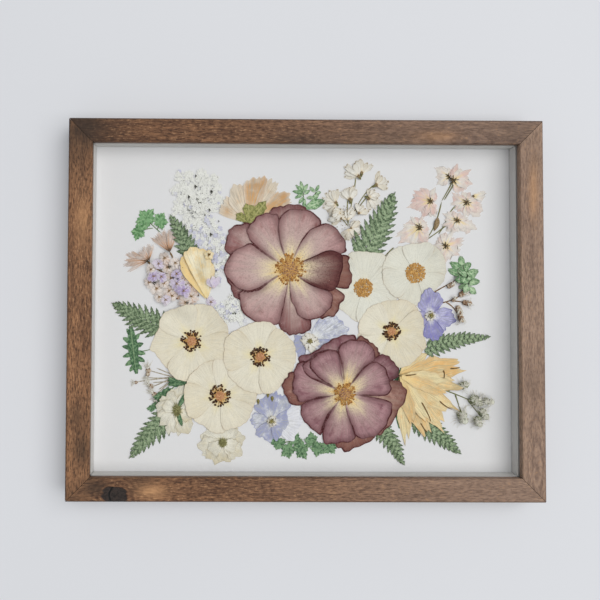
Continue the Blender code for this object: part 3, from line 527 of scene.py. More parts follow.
class Pressing:
    """One pressed plant: sheets and stems are laid on the bed and joined to one mesh. The
    thickness of its sheets is given in millimetres before pressing."""

    def __init__(self, name, seed=1, thickness=0.14):
        self.name = name
        self.thickness = thickness
        self.draw = np.random.default_rng(seed)
        self.points, self.faces, self.uvs, self.slots = [], [], [], []
        self.tones, self.gaps = [], []
        self.size = 0

    def add_parts(self, points, faces, uv, tones, slot, gaps=9.0):
        """Adds like parts. Points are parts by points by 3, and the faces serve each part. A
        point's gap is its distance from the edge of its petal, in millimetres."""
        parts, size = points.shape[:2]
        first = self.size + size * np.arange(parts)[:, None, None]
        self.points.append(points.reshape(-1, 3))
        self.faces.append((faces[None] + first).reshape(-1, 4))
        self.uvs.append(np.broadcast_to(uv, (parts, size, 2)).reshape(-1, 2))
        tones = np.broadcast_to(np.reshape(tones, (-1, 1)), (parts, size))
        self.tones.append(tones.reshape(-1))
        self.gaps.append(np.broadcast_to(gaps, (parts, size)).reshape(-1))
        self.slots.append(np.full(parts * len(faces), slot))
        self.size += parts * size

    def lay_sheet(self, flat, relief, uv, gap, tone=0.0, slot=0, spread=1.8, wraps=False):
        """Lays a grid of flat places on the bed. Relief is the height over the bed."""
        rows, columns = flat.shape[:2]
        top = bed.under(flat, spread) + AIR + self.thickness + relief
        grid = np.dstack([flat, top])
        bed.add(np.dstack([flat, top - 0.3 * relief]))
        both = np.concatenate([grid, grid - (0, 0, self.thickness)]).reshape(1, -1, 3)
        uv = np.concatenate([uv, uv]).reshape(1, -1, 2)
        gap = np.concatenate([gap, gap]).reshape(1, -1)
        self.add_parts(both, sheet_faces(rows, columns, wraps), uv, tone, slot, gap)

    def crinkle(self, s, t, fine):
        """Uneven folds from 0 to 1: a mean of sines that run mostly along the sheet."""
        total = 0.0
        for scale in (1.0, 1.9, 3.1, 4.7):
            across, along, phase = self.draw.uniform((2, -2, 0), (5, 2, 6.3)) * (scale, scale, 1)
            total = total + np.sin(across * fine * s + along * t + phase) / scale
        return np.clip(total / 3.4 + 0.5, 0, 1)

    def petal(self, heart, degrees, length, half_width, tone=0.0, slot=0, fullness=0.62,
              rounding=0.34, claw=0.25, ruffle=0.5, wave=0.03, spread=1.8):
        """A petal. t runs from its claw to its tip and s from side to side. Its width grows
        from the claw as a sine of t. Its length falls off as s cubed, which rounds the tip.
        Small sines of t and s make its edge wavy."""
        rows = int(np.clip(length / 1.8, 5, 30)) + 2
        columns = 2 * int(np.clip(half_width / 1.8, 2, 11)) + 1
        t = np.linspace(0, 1, rows)[:, None]
        s = np.linspace(-1, 1, columns)[None, :]
        phase = self.draw.uniform(0, 6.3, 4)
        width = claw + (1 - claw) * np.sin(math.pi * fullness * t)
        width = width * (1 + wave * np.sin(9 * t + phase[0]) + wave * np.sin(19 * t + phase[1]))
        edge = 1 + wave * (np.sin(5 * s + phase[2]) + 0.6 * np.sin(14 * s + phase[3])) * t ** 4
        along = length * t * (1 - rounding * np.abs(s) ** 3 * t ** 2) * edge
        across = half_width * s * width
        relief = ruffle * self.crinkle(s, t, 1.0) * (0.15 + 0.85 * np.maximum(np.abs(s), t) ** 2)
        flat = turned(np.dstack([along, across]), degrees, heart)
        uv = np.dstack([(s + 1) / 2 + 0 * t, t + 0 * s])
        gap = np.minimum((1 - np.abs(s)) * half_width * width, (1 - t) * length)
        self.lay_sheet(flat, relief, uv, gap, tone, slot, spread)

    def fan(self, centre, degrees, reach, tone=0.0, slot=0, ruffle=0.6, wave=0.012, spread=1.8):
        """A petal that fans out from its flower's centre. t runs outwards to the edge, whose
        reach is given for each direction along it. Small sines make the edge wavy. The gap is
        the distance to the nearest of the edge's pieces."""
        s = np.linspace(-1, 1, len(degrees))[None, :]
        t = np.linspace(0.05, 1, 16)[:, None]
        phase = self.draw.uniform(0, 6.3, 2)
        reach = reach * (1 + wave * (np.sin(9 * s + phase[0]) + 0.7 * np.sin(23 * s + phase[1])))
        angle = np.radians(degrees)
        flat = np.dstack([reach * t * np.cos(angle), reach * t * np.sin(angle)]) + centre
        relief = ruffle * self.crinkle(s, t, 1.3) * (0.15 + 0.85 * t ** 2)
        uv = np.dstack([(s + 1) / 2 + 0 * t, t * reach / reach.max()])
        step = np.diff(flat[-1], axis=0)
        away = flat[:, :, None] - flat[-1, :-1]
        share = np.clip((away * step).sum(axis=-1) / ((step ** 2).sum(axis=-1) + 1e-9), 0, 1)
        gap = np.linalg.norm(away - share[..., None] * step, axis=-1).min(axis=-1)
        self.lay_sheet(flat, relief, uv, gap, tone, slot, spread)

    def tubes(self, paths, radii, sides, tones=0.0, slot=0):
        """Round stems along like paths: each ring is turned square to its path in plan, and
        the first and last rings close to a point."""
        parts, stations = paths.shape[:2]
        along = np.gradient(paths, axis=1)
        aside = np.stack([-along[..., 1], along[..., 0], 0 * along[..., 0]], axis=-1)
        aside /= np.linalg.norm(aside, axis=-1, keepdims=True) + 1e-9
        turn = 2 * math.pi * np.arange(sides) / sides
        upward = np.array([0, 0, STEM_HEIGHT])
        ring = np.cos(turn)[:, None] * aside[:, :, None] + np.sin(turn)[:, None] * upward
        radii = np.broadcast_to(radii, (parts, stations)).copy()
        radii[:, [0, -1]] = 0
        points = (paths[:, :, None] + radii[..., None, None] * ring).reshape(parts, -1, 3)
        place = np.linspace(0, 1, stations)[:, None] + np.zeros(sides)
        uv = np.dstack([turn / 6.3 + 0 * place, place]).reshape(-1, 2)
        self.add_parts(points, tube_faces(stations, sides), uv, tones, slot)

    def stem(self, points, radius, tone=0.0, slot=0, stations=12, sides=8, swell=None):
        """A stem, bud or seed along a bent path on the bed. A swell makes its radius follow a
        half sine, as on a bud, in place of a slow taper."""
        flat = bent(points, stations)
        t = np.linspace(0, 1, stations)
        radii = radius * (1.1 - 0.45 * t)
        if swell is not None:
            radii = radius * np.sin(math.pi * np.clip(t, 0.04, 0.96) ** swell)
        level = bed.under(flat[None], 1.2)[0] + AIR + STEM_HEIGHT * radii
        path = np.column_stack([flat, level])
        self.tubes(path[None], radii, sides, tone, slot)
        ridge = np.stack([path, path + (0, 0.01, 0)])
        ridge[..., 2] += STEM_HEIGHT * radii
        bed.add(ridge)

    def florets(self, places, radii, tones):
        """Tiny flat blossoms of one shape: a ring of points where each petal has two shoulders
        between two notches, round a centre that lies lower."""
        count = len(places)
        lobe = 2 * math.pi / FLORET_LOBES
        spots = np.array([-0.5, -0.27, 0.27]) * lobe
        angles = (spots + lobe * np.arange(FLORET_LOBES)[:, None]).reshape(-1)
        reach = np.tile([FLORET_NOTCH, 1.0, 1.0], FLORET_LOBES)
        angles = np.append(angles, angles[0] + 2 * math.pi)
        reach = np.append(reach, reach[0])
        angles = angles + self.draw.uniform(0, 6.3, (count, 1))
        reach = reach * self.draw.uniform(0.85, 1.1, (count, len(reach)))
        reach[:, -1] = reach[:, 0]
        outer = np.stack([np.cos(angles), np.sin(angles)], axis=-1)
        outer = outer * (reach * np.reshape(radii, (-1, 1)))[..., None]
        tilt = self.draw.uniform(-0.12, 0.12, (count, 1, 2))
        rise = FLORET_CUP * reach + (outer * tilt).sum(axis=-1)
        level = bed.under(places[None], 0.9)[0] + AIR + self.thickness
        level = level + self.draw.uniform(0.1, 1.0, count) * FLORET_LIFT
        outer = np.dstack([outer + places[:, None], level[:, None] + rise])
        middle = np.column_stack([places, level])[:, None] + 0 * outer
        top = np.concatenate([middle, outer], axis=1)
        cells = np.round((top[..., :2] - bed.low) / BED_CELL).astype(int)
        np.maximum.at(bed.heights, (cells[..., 1], cells[..., 0]), top[..., 2])
        both = np.concatenate([top, top - (0, 0, self.thickness)], axis=1)
        ring = np.linspace(0, 1, 3 * FLORET_LOBES + 1)
        rows = [np.column_stack([ring, 0 * ring + along]) for along in (0, 1)]
        faces = sheet_faces(2, 3 * FLORET_LOBES + 1, True)
        self.add_parts(both, faces, np.concatenate([*rows, *rows]), tones, 0)

    def make(self, finishes, node):
        """Joins the parts to one mesh, with their tones and gaps kept as attributes."""
        points = np.concatenate(self.points)
        points[:, 2] = BOARD_LEVEL + (points[:, 2] - BOARD_LEVEL) * PRESSED
        points = points * MM
        faces = np.concatenate(self.faces)
        mesh = bpy.data.meshes.new(self.name)
        mesh.vertices.add(len(points))
        mesh.vertices.foreach_set("co", points.ravel())
        mesh.loops.add(faces.size)
        mesh.loops.foreach_set("vertex_index", faces.ravel().astype(np.int32))
        mesh.polygons.add(len(faces))
        mesh.polygons.foreach_set("loop_start", np.arange(0, faces.size, 4, dtype=np.int32))
        mesh.polygons.foreach_set("material_index", np.concatenate(self.slots).astype(np.int32))
        mesh.update(calc_edges=True)
        layer = mesh.uv_layers.new(name="UVMap")
        layer.data.foreach_set("uv", np.concatenate(self.uvs)[faces.ravel()].ravel())
        tone = mesh.attributes.new("tone", "FLOAT", "POINT")
        tone.data.foreach_set("value", np.concatenate(self.tones).astype(np.float32))
        gap = mesh.attributes.new("gap", "FLOAT", "POINT")
        gap.data.foreach_set("value", np.concatenate(self.gaps).astype(np.float32))
        shell = bmesh.new()
        shell.from_mesh(mesh)
        bmesh.ops.remove_doubles(shell, verts=shell.verts, dist=1e-6)
        shell.to_mesh(mesh)
        shell.free()
        mesh.shade_smooth()
        mesh.set_sharp_from_angle(angle=math.radians(60))
        for finish in finishes:
            mesh.materials.append(finish)
        plant = bpy.data.objects.new(self.name, mesh)
        bpy.context.scene.collection.objects.link(plant)
        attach(plant, "root")
        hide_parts(node)


def petal_finish(name, body, tint, rays, rim, rim_width=0.5, rim_share=0.6, veins=0.25,
                 blotch=0.35, margin=0.0, margin_width=6.0, speckle=0.15, depth=0.00012,
                 sheer=0.0):
    """Dry petal. Fine veins fan out along it, and blotches and the part's tone turn the body colour
    towards the tint. Each ray colour fills a flame shape from the claw up to its reach. The rim,
    and less so a wider margin, takes the rim colour by the gap to the edge. Where rim and margin
    are dark, as on the roses, they are partly the petal's own colour and partly painted shade along
    edges where petals overlap. A sheer petal lets some light through, most of all along its margin
    and at its tip."""
    material, start = begin_finish(name)
    spot = start.place()
    over = start.place("UV")
    tone = start.attribute("tone")
    gap = start.attribute("gap")
    across, along, _ = over.axes()
    aside = abs(across * 2 - 1)
    at = start.node("CombineXYZ", {}, {0: across, 1: along, 2: tone * 7.0})
    vein = at.noise((42, 2.2, 1), 3.0, 0.6)
    streak = at.noise((11, 0.8, 1), 2.0)
    cloud = spot.noise(150, 4.0, 0.6)
    grain = spot.noise(900, 3.0, 0.6)
    tinted = tone + (cloud - 0.5) * 2.0 * blotch + (vein - 0.5) * 0.5 * blotch
    colour = tinted.rise(0.0, 1.0).mix(srgb(*body), srgb(*tint))
    shade = darker(body, 0.55)
    colour = ((0.56 - vein).rise(0.0, 0.2) * veins).mix(colour, shade)
    flame = along * (1 + aside * aside * 1.6) + (streak - 0.5) * 0.35 + (vein - 0.5) * 0.3
    for ray, reach, share in rays:
        colour = ((1 - flame.rise(0.25 * reach, reach)) * share).mix(colour, srgb(*ray))
    # margin and rim: where their colour is dark, as on the roses, they are partly painted shade
    # along edges where petals overlap
    outer = along.rise(0.15, 0.6)
    near = (1 - (gap + (cloud - 0.5) * margin_width).rise(0.0, margin_width)) * outer
    colour = (near * margin).mix(colour, srgb(*rim))
    uneven = spot.noise(110, 2.0)
    line = 1 - (gap / (uneven * 2.4 * rim_width)).rise(0.7, 1.2)
    line = line * (0.5 + uneven.rise(0.36, 0.6) * 0.5) * (0.3 + outer * 0.7)
    colour = (line * rim_share).mix(colour, srgb(*rim))
    colour = ((0.52 - grain).rise(0.0, 0.16) * speckle).mix(colour, shade)
    height = vein * 0.7 + grain * 0.2 + cloud * 0.8
    settings = {"specular_ior_level": 0.0}
    if sheer:
        settings["alpha"] = 1 - (near * 0.3 + along.rise(0.35, 1.0) * 0.5 + cloud * 0.3) * sheer
    end_finish(material, colour, 0.7 + grain * 0.2, height, depth, **settings)
    return material


def plain_finish(name, light, dark, speckle=400):
    """Stems, buds and stamens: two shades in small uneven patches."""
    material, start = begin_finish(name)
    spot = start.place()
    tone = start.attribute("tone")
    patches = spot.noise(speckle, 3.0, 0.6)
    colour = (patches.rise(0.35, 0.65) * 0.7 + tone * 0.6).mix(srgb(*light), srgb(*dark))
    end_finish(material, colour, 0.7, patches, 0.0001, specular_ior_level=0.25)
    return material


def spiral(count, centre, radius_x, radius_y):
    """Evenly spread places in an oval: the turn grows by the golden angle, the distance as
    the root of the number."""
    number = np.arange(count) + 0.5
    angle = 2.39996 * number
    reach = np.sqrt(number / count)
    flat = [radius_x * reach * np.cos(angle), radius_y * reach * np.sin(angle)]
    return np.column_stack(flat) + centre


def lay_beads(press, places, radius, lift, tones, slot, stretch=1.2):
    """Small seed-like bodies: a short tube whose radius follows a circle along its length."""
    count = len(places)
    reach = np.linspace(-1, 1, 5)
    radii = np.broadcast_to(radius, (count,))[:, None] * np.sqrt(1 - (reach * 0.97) ** 2)
    heading = press.draw.uniform(0, 2 * math.pi, count)
    aim = np.stack([np.cos(heading), np.sin(heading), 0 * heading], axis=-1)
    length = np.broadcast_to(radius, (count,))[:, None, None] * stretch
    level = bed.under(places[None], 0.9)[0] + lift + AIR
    middle = np.column_stack([places, level])[:, None]
    press.tubes(middle + aim[:, None] * reach[:, None] * length, radii, 6, tones, slot)


def lay_lace(node, centre, radii, rays, per_ray, lilac, seed):
    """An umbel: rays from a hub to evenly spread heads, each a small spiral of florets."""
    press = Pressing(node + "_florets", seed)
    hub = np.array(centre) - (0, radii[1] * 0.5)
    heads = spiral(rays, centre, *radii) + press.draw.uniform(-1.2, 1.2, (rays, 2))
    for head in heads:
        middle = (hub + head) / 2 + press.draw.uniform(-2, 2, 2)
        press.stem([hub, middle, head], 0.22, 0.3, 1, 8, 5)
    places = np.concatenate([
        spiral(per_ray, head, 4.2, 4.2) + press.draw.uniform(-0.5, 0.5, (per_ray, 2))
        for head in heads
    ])
    count = len(places)
    tinted = press.draw.uniform(0, 1, count) < lilac
    tones = tinted * press.draw.uniform(0.4, 1, count)
    press.florets(places, press.draw.uniform(1.3, 2.5, count), tones)
    specks = places[press.draw.integers(0, count, 10)]
    level = bed.under(specks[None], 0.9)[0] + 1.2
    path = np.stack([specks - (0.5, 0.2), specks, specks + (0.5, 0.2)], axis=1)
    path = np.dstack([path, np.repeat(level[:, None], 3, axis=1)])
    press.tubes(path, 0.35, 5, 0.5, 2)
    for x, y, radius in LACE_SEEDS[node]:
        lay_beads(press, spiral(5, (x, y), radius, radius * 1.3), 0.5 * radius, 0.9, 0.5, 2)
    press.make([lace_petal, lace_ray, speck], node)


lace_petal = petal_finish(
    "lace_petal", LACE_WHITE, LACE_LILAC, [(LACE_SHADE, 0.5, 0.8)], (250, 250, 246), veins=0.5
)
lace_ray = plain_finish("lace_ray", RAY_GREEN, (116, 124, 98))
speck = plain_finish("dry_speck", SPECK_BROWN, (34, 34, 26))
for seed, (node, values) in enumerate(LACE_UMBELS.items(), start=11):
    lay_lace(node, *values, seed)


# ---- White and blush sprays --------------------------------------------------------------
# Two thin branching sprays. The left one's small white blossoms are pressed flat into fans, most
# of them in a brownish green calyx. The right one's are open, ragged and faintly pink, with dark
# middles.
CALYX_GREEN = (150, 148, 98)
CALYX_OCHRE = (168, 128, 78)
WHITE_SPRAY_STEMS = [
    ((28, 84), (30, 76), (38, 68)), ((43.5, 110), (43, 96), (38, 82), (37, 68)),
    ((59, 103), (50, 97), (41, 78)), ((52, 92), (47, 86), (41, 76)), ((37, 91), (36, 82), (37, 70)),
]
WHITE_SPRAY_FANS = [              # base, direction, length, half width, petals, calyx radius
    (48.2, 112.5, 88, 12.0, 2.3, 5, 1.3), (45.5, 109.5, 138, 13.5, 2.3, 6, 1.3),
    (60.0, 102.5, 28, 11.5, 2.3, 6, 1.4), (53.5, 91.7, 325, 11.0, 2.4, 5, 1.4),
    (54.0, 92.5, 40, 8.5, 2.1, 4, 0.0), (38.4, 90.2, 100, 12.5, 2.4, 6, 1.4),
    (27.0, 87.4, 130, 12.0, 2.5, 6, 1.3), (26.5, 86.0, 215, 10.0, 2.3, 5, 0.0),
    (31.0, 74.5, 160, 10.0, 2.5, 5, 0.8), (36.0, 73.0, 95, 11.0, 2.5, 5, 0.0),
    (39.0, 66.0, 15, 9.5, 2.4, 5, 0.8), (37.0, 66.0, 275, 9.0, 2.4, 5, 0.0),
    (45.5, 79.0, 55, 9.0, 2.2, 5, 0.7), (30.0, 79.0, 190, 8.0, 2.2, 4, 0.0),
]
BLUSH_SPRAY_STEMS = [
    ((124.0, 106), (120, 98), (115.0, 89.8)), ((125.6, 105), (121.8, 98), (117.0, 90.5)),
    ((115, 89.8), (110, 64), (98, 54)), ((126.2, 85.7), (123, 82), (120.7, 79)),
    ((123, 73), (112, 64), (100, 56)), ((120.7, 79), (118, 70), (112, 62)),
    ((75.3, 51.2), (69, 46), (65.3, 40.5)),
]
BLUSH_BLOSSOMS = [                # centre, tone, calyx radius, petals (direction, length)
    ((120.9, 110.1), 0.2, 1.8, [(95, 8), (125, 10), (152, 12), (178, 10), (205, 10), (235, 9)]),
    ((124.2, 107.0), 0.6, 2.4, [(75, 12), (55, 12), (38, 13), (20, 14), (2, 15), (-15, 15),
                                (-32, 14), (100, 9)]),
    ((105.0, 89.3), 1.0, 1.8, [(85, 11), (115, 13), (145, 14), (170, 15), (190, 16), (215, 13),
                               (245, 12), (268, 13), (292, 12), (320, 8), (20, 7), (50, 9)]),
    ((135.2, 88.5), 0.55, 2.0, [(85, 9), (112, 9), (148, 12), (175, 11), (225, 10), (258, 10),
                                (290, 11), (318, 15), (345, 12), (20, 9)]),
    ((127.2, 73.5), 0.4, 1.8, [(-20, 16), (-42, 12), (10, 10), (60, 8), (140, 10), (185, 10),
                               (212, 12), (240, 11), (270, 10), (100, 8)]),
    ((95.8, 67.6), 0.6, 2.0, [(85, 10), (50, 8), (160, 12), (195, 15), (225, 17), (250, 15),
                              (275, 14), (305, 13), (335, 10), (120, 9), (15, 8)]),
    ((117.5, 52.4), 0.5, 2.0, [(85, 12), (60, 11), (10, 15), (-15, 13), (-45, 12), (-75, 11),
                               (-100, 10), (140, 10), (165, 9), (115, 10), (200, 9), (230, 9)]),
    ((141.0, 94.0), 0.1, 0.5, [(3, 11)]),
]
BLUSH_POD = ((111.6, 76.4), (110.6, 70), (108.5, 64.5))


def scatter_fan(press, base, degrees, length, half_width, petals, slot=0, spread=34, **looks):
    """Petals that fan out from one base, each a little unlike its neighbours. Gives back a
    place near the tip of each."""
    tips = []
    for turn in press.draw.permutation(np.linspace(-spread, spread, petals)):
        turn = degrees + turn + press.draw.uniform(-5, 5)
        reach = length * press.draw.uniform(0.8, 1.1)
        press.petal(
            base, turn, reach, half_width * press.draw.uniform(0.8, 1.1), press.draw.uniform(0, 1),
            slot, **looks
        )
        tips.append(turned(np.array([0.92 * reach, 0]), turn, base))
    return np.array(tips)


def lay_filaments(press, centre, ends, radius, rise, slot):
    """Thread-like filaments from one middle: in plan each is a slightly bent line, a
    quadratic curve that a shifted middle pulls on, and its height is a half sine."""
    t = np.linspace(0, 1, 6)[:, None]
    middle = (centre + ends) / 2 + press.draw.uniform(-0.6, 0.6, ends.shape)
    flat = (1 - t) ** 2 * np.asarray(centre) + 2 * t * (1 - t) * middle[:, None]
    flat = flat + t ** 2 * ends[:, None]
    arch = rise * np.sin(math.pi * t[:, 0]) * press.draw.uniform(0.3, 1, (len(ends), 1))
    level = bed.under(flat, 0.9) + AIR + radius + arch
    path = np.concatenate([flat, level[..., None]], axis=-1)
    press.tubes(path, radius, 4, press.draw.uniform(0, 0.6, len(ends)), slot)


def lay_white_spray():
    """Fans of round-tipped white petals at the ends of forked stems, each petal with a brown
    dot at its tip, and a patch of small brown seeds."""
    press = Pressing("white_spray_blossoms", 21)
    for points in WHITE_SPRAY_STEMS:
        press.stem(points, 0.45, 0.2, 1)
    for x, y, degrees, length, half_width, petals, calyx in WHITE_SPRAY_FANS:
        tips = scatter_fan(
            press, (x, y), degrees, length, half_width, petals, spread=46, ruffle=0.5, claw=0.15,
            rounding=0.3, wave=0.05, fullness=0.6
        )
        lay_beads(press, tips, press.draw.uniform(0.2, 0.5, petals), 0.2, 0.3, 2)
        if calyx:
            lay_beads(press, spiral(9, (x, y), calyx, calyx), 0.6, 0.4, 0.4, 2)
            back = turned(np.array([[-2.5 * calyx, 0], [0.9 * calyx, 0]]), degrees, (x, y))
            press.stem(back, 0.7 * calyx, 0.5, 1, 7, 8, 0.7)
    dots = spiral(30, (34, 74), 7, 12)
    radii = press.draw.uniform(0.25, 0.45, 30)
    lay_beads(press, dots + press.draw.uniform(-1, 1, dots.shape), radii, 0.3, 0.3, 2)
    press.make([ivory_petal, calyx_green, seed_brown], "white_spray")


def lay_blush_spray():
    """Ragged blossoms, each of broad thin petals with narrow ones over them, and one pod."""
    press = Pressing("blush_spray_blossoms", 22, 0.05)
    for points in BLUSH_SPRAY_STEMS:
        press.stem(points, 0.5, 0.4, 1)
    for centre, tone, calyx, petals in BLUSH_BLOSSOMS:
        for width, low, high in ((0.38, 0.85, 1.05), (0.18, 0.8, 1.3)):
            for degrees, length in petals:
                press.petal(
                    centre, degrees + press.draw.uniform(-14, 14),
                    length * press.draw.uniform(low, high), length * width,
                    tone * press.draw.uniform(0.2, 1.4), ruffle=0.15, claw=0.12, rounding=0.2,
                    wave=0.1, fullness=0.7, spread=1.2
                )
        lay_beads(press, spiral(8, centre, calyx, calyx), 0.45, 0.3, press.draw.uniform(0, 1, 8), 2)
        strokes = spiral(12, centre, calyx * 2.2, calyx * 2.2)
        lay_filaments(press, centre, strokes[3:], 0.3, 0.2, 3)
    press.stem(BLUSH_POD, 2.2, 0.2, 4, 12, 10, 0.8)
    press.make(
        [blush_petal, calyx_green, calyx_ochre, speck, seed_brown], "blush_spray"
    )


ivory_petal = petal_finish(
    "ivory_petal", (255, 252, 243), (246, 238, 220), [((230, 210, 170), 0.45, 0.7)],
    (200, 180, 146), 0.3, 0.5, veins=0.5, blotch=0.6, sheer=0.35
)
blush_petal = petal_finish(
    "blush_petal", (255, 250, 240), (250, 214, 204), [((246, 224, 164), 0.75, 0.85)],
    (250, 244, 240), 0.4, 0.5, veins=0.45, blotch=0.9, margin=0.3, margin_width=3.0, sheer=0.5
)
seed_brown = plain_finish("seed_brown", (176, 152, 116), (104, 84, 56), 1500)
calyx_green = plain_finish("calyx_green", CALYX_GREEN, (104, 100, 62), 900)
calyx_ochre = plain_finish("calyx_ochre", CALYX_OCHRE, (104, 80, 44), 900)
lay_white_spray()
lay_blush_spray()


# ---- Bud sprigs --------------------------------------------------------------------------
# Wiry stems with dry seed heads and buds: brown heather at the right edge, grey-green buds below
# it, and small hairy cones on the left.
HEATHER_STEMS = [
    ((108, 14), (115, 18), (127, 24.5)), ((112, 5), (122, 6), (132.5, 13)),
    ((109, 15), (110.5, 10), (113, 5)), ((118, 6), (126, 2), (129, -7)),
    ((122, 7), (128, 7), (135, 5.5)),
]
HEATHER_HEADS = [                 # centre, direction, length, half width
    (121.3, 19.6, 30, 5.5, 1.9), (127.5, 24.5, 30, 4.5, 1.5), (131.5, 13.0, 35, 7.0, 2.2),
    (134.5, 5.5, 350, 6.5, 2.1), (128.1, 0.4, 290, 6.0, 2.1), (129.3, -6.5, 285, 6.5, 2.2),
    (124.0, 8.0, 60, 4.0, 1.5),
]
RIGHT_BUD_STEMS = [
    ((112, -65), (125, -69), (133, -73), (141, -76)), ((119, -67), (125, -64), (131, -62.5)),
    ((125, -69), (128, -78), (131, -87)), ((135, -74), (141, -81), (146, -88)),
    ((141, -75), (145, -75), (149, -75)),
]
RIGHT_BUDS = [
    (131.0, -62.5, 25, 7.5, 3.2), (141.0, -74.5, 330, 9.5, 4.4), (150.0, -75.0, 0, 7.0, 3.2),
    (147.5, -85.0, 300, 8.5, 3.6), (130.5, -87.5, 285, 9.5, 4.2), (143.0, -91.0, 280, 7.5, 3.2),
]
LEFT_BUD_STEMS = [
    ((-103, -57), (-114, -55), (-127, -51)), ((-105, -56.5), (-122, -58), (-139, -61)),
    ((-106, -56.5), (-115, -61), (-125, -65)), ((-106, -57), (-113, -64), (-121, -71)),
    ((-103, -56), (-112, -53), (-121, -49)), ((-104, -57), (-116, -58), (-128, -57)),
    ((-104, -58), (-113, -61), (-124, -61)), ((-105, -58), (-112, -62), (-119, -67)),
]
LEFT_BUDS = [
    (-127.5, -50.0, 100, 7.5, 1.5), (-128.0, -55.0, 250, 6.0, 1.3), (-126.0, -63.5, 150, 7.0, 1.5),
    (-123.0, -70.0, 130, 7.5, 1.5), (-138.0, -61.0, 185, 4.5, 0.9), (-121.0, -73.5, 240, 5.0, 1.3),
]


def lay_bud_sprig(node, stems, buds, finishes, scales, hairs, spread, seed):
    """Bent stems, and at their ends buds: a spindle wrapped in small pointed scales, with
    white hairs that fan out from its middle."""
    press = Pressing(node + "_buds", seed)
    for points in stems:
        press.stem(points, 0.5, 0.3, 0)
    for x, y, degrees, length, half_width in buds:
        ends = turned(np.array([[-0.5 * length, 0], [0.6 * length, 0]]), degrees, (x, y))
        press.stem(ends, half_width, 0.2, 1, 9, 10, 0.75)
        for share in np.linspace(0, 0.55, scales):
            start = ends[0] + (ends[1] - ends[0]) * share
            for turn in (-28, 28, 0):
                press.petal(
                    start, degrees + turn, length * 0.55, half_width * 0.6,
                    press.draw.uniform(0, 1), 2, rounding=0.1, fullness=0.85, ruffle=0.2, spread=1.2
                )
        aim = np.radians(degrees + press.draw.uniform(-spread, spread, (hairs, 1)))
        reach = length * press.draw.uniform(0.7, 1.25, (hairs, 1))
        tips = (x, y) + reach * np.hstack([np.cos(aim), np.sin(aim)])
        lay_filaments(press, np.array((x, y)), tips, 0.15, 0.2, 3)
    press.make([*finishes, bud_hair], node)


brown_stem = plain_finish("brown_stem", (150, 118, 84), (96, 70, 50), 500)
brown_bud = plain_finish("brown_bud", (140, 108, 84), (84, 58, 44), 1200)
bud_scale = petal_finish(
    "bud_scale", (226, 216, 196), (162, 130, 104), [((130, 96, 70), 0.5, 0.9)], (128, 98, 76), 0.3
)
pale_stem = plain_finish("pale_stem", (204, 196, 178), (150, 138, 116), 500)
bud_hair = plain_finish("bud_hair", (236, 234, 226), (196, 190, 172), 700)
green_stem = plain_finish("green_stem", (138, 142, 96), (98, 98, 60), 500)
green_bud = plain_finish("green_bud", (150, 156, 122), (88, 92, 62), 900)
green_scale = petal_finish(
    "green_scale", (224, 226, 210), (146, 150, 118), [((118, 126, 86), 0.5, 0.9)],
    (104, 106, 74), 0.3
)
lay_bud_sprig(
    "heather_sprig", HEATHER_STEMS, HEATHER_HEADS, [brown_stem, brown_bud, bud_scale], 3, 9, 50, 31
)
lay_bud_sprig(
    "bud_sprig_right", RIGHT_BUD_STEMS, RIGHT_BUDS, [green_stem, green_bud, green_scale],
    3, 24, 180, 32
)
lay_bud_sprig(
    "bud_sprig_left", LEFT_BUD_STEMS, LEFT_BUDS, [pale_stem, brown_bud, bud_scale], 1, 16, 50, 33
)


# ---- Statice -----------------------------------------------------------------------------
# A cluster of papery florets: peach ones with brown stamens, and lavender ones over them.
# Fans of narrow pale petals with orange-brown bases stand out of it, two at the upper left.
STATICE_FANS = [                  # base, direction, length, half width, petals, spread
    (-110.4, 46.5, 106, 18.0, 1.3, 19, 38), (-128.2, 38.7, 178, 18.0, 1.6, 13, 26),
    (-127.0, 39.5, 118, 12.5, 1.3, 13, 46), (-105.0, 7.6, 60, 8.0, 1.2, 9, 50),
    (-86.0, 10.0, 140, 13.0, 1.1, 8, 14),
]
STATICE_PEACH = [                 # centre, radius, tone
    (-125.5, 31.5, 5.5, 0.1), (-112.0, 33.5, 6.5, 0.3), (-121.0, 16.0, 6.5, 0.2),
    (-110.5, 14.0, 6.5, 0.4), (-92.5, 9.5, 6.5, 0.8), (-92.0, 19.5, 5.5, 0.9),
    (-98.5, 23.0, 5.0, 0.3), (-114.5, 41.0, 5.5, 0.5), (-105.5, 37.0, 5.5, 0.2),
    (-118.5, 9.0, 5.5, 0.1), (-109.0, 24.5, 5.5, 0.3), (-97.0, 4.5, 6.0, 0.3),
    (-108.0, 10.0, 5.5, 0.5), (-115.0, 20.5, 5.5, 0.3), (-127.0, 21.0, 5.0, 0.2),
]
STATICE_LAVENDER = [
    (-119.1, 36.3, 5.0, 0.4), (-123.2, 26.0, 5.5, 1.3), (-116.6, 25.6, 5.0, 0.7),
    (-104.3, 28.1, 5.0, 0.6), (-104.2, 19.9, 7.0, 0.7), (-98.4, 14.2, 6.0, 1.0),
    (-113.2, 6.7, 5.0, 0.0), (-76.1, 5.2, 4.5, 0.4), (-99.0, 33.5, 4.0, 0.3),
]
STATICE_SEEDS = [(-122.3, 20.6, 1.6), (-110.1, 33.9, 1.4), (-117.5, 31.0, 1.2), (-107.0, 25.0, 1.0),
                 (-103.5, 24.0, 0.9), (-95.5, 4.5, 1.2), (-127.5, 38.0, 1.4)]


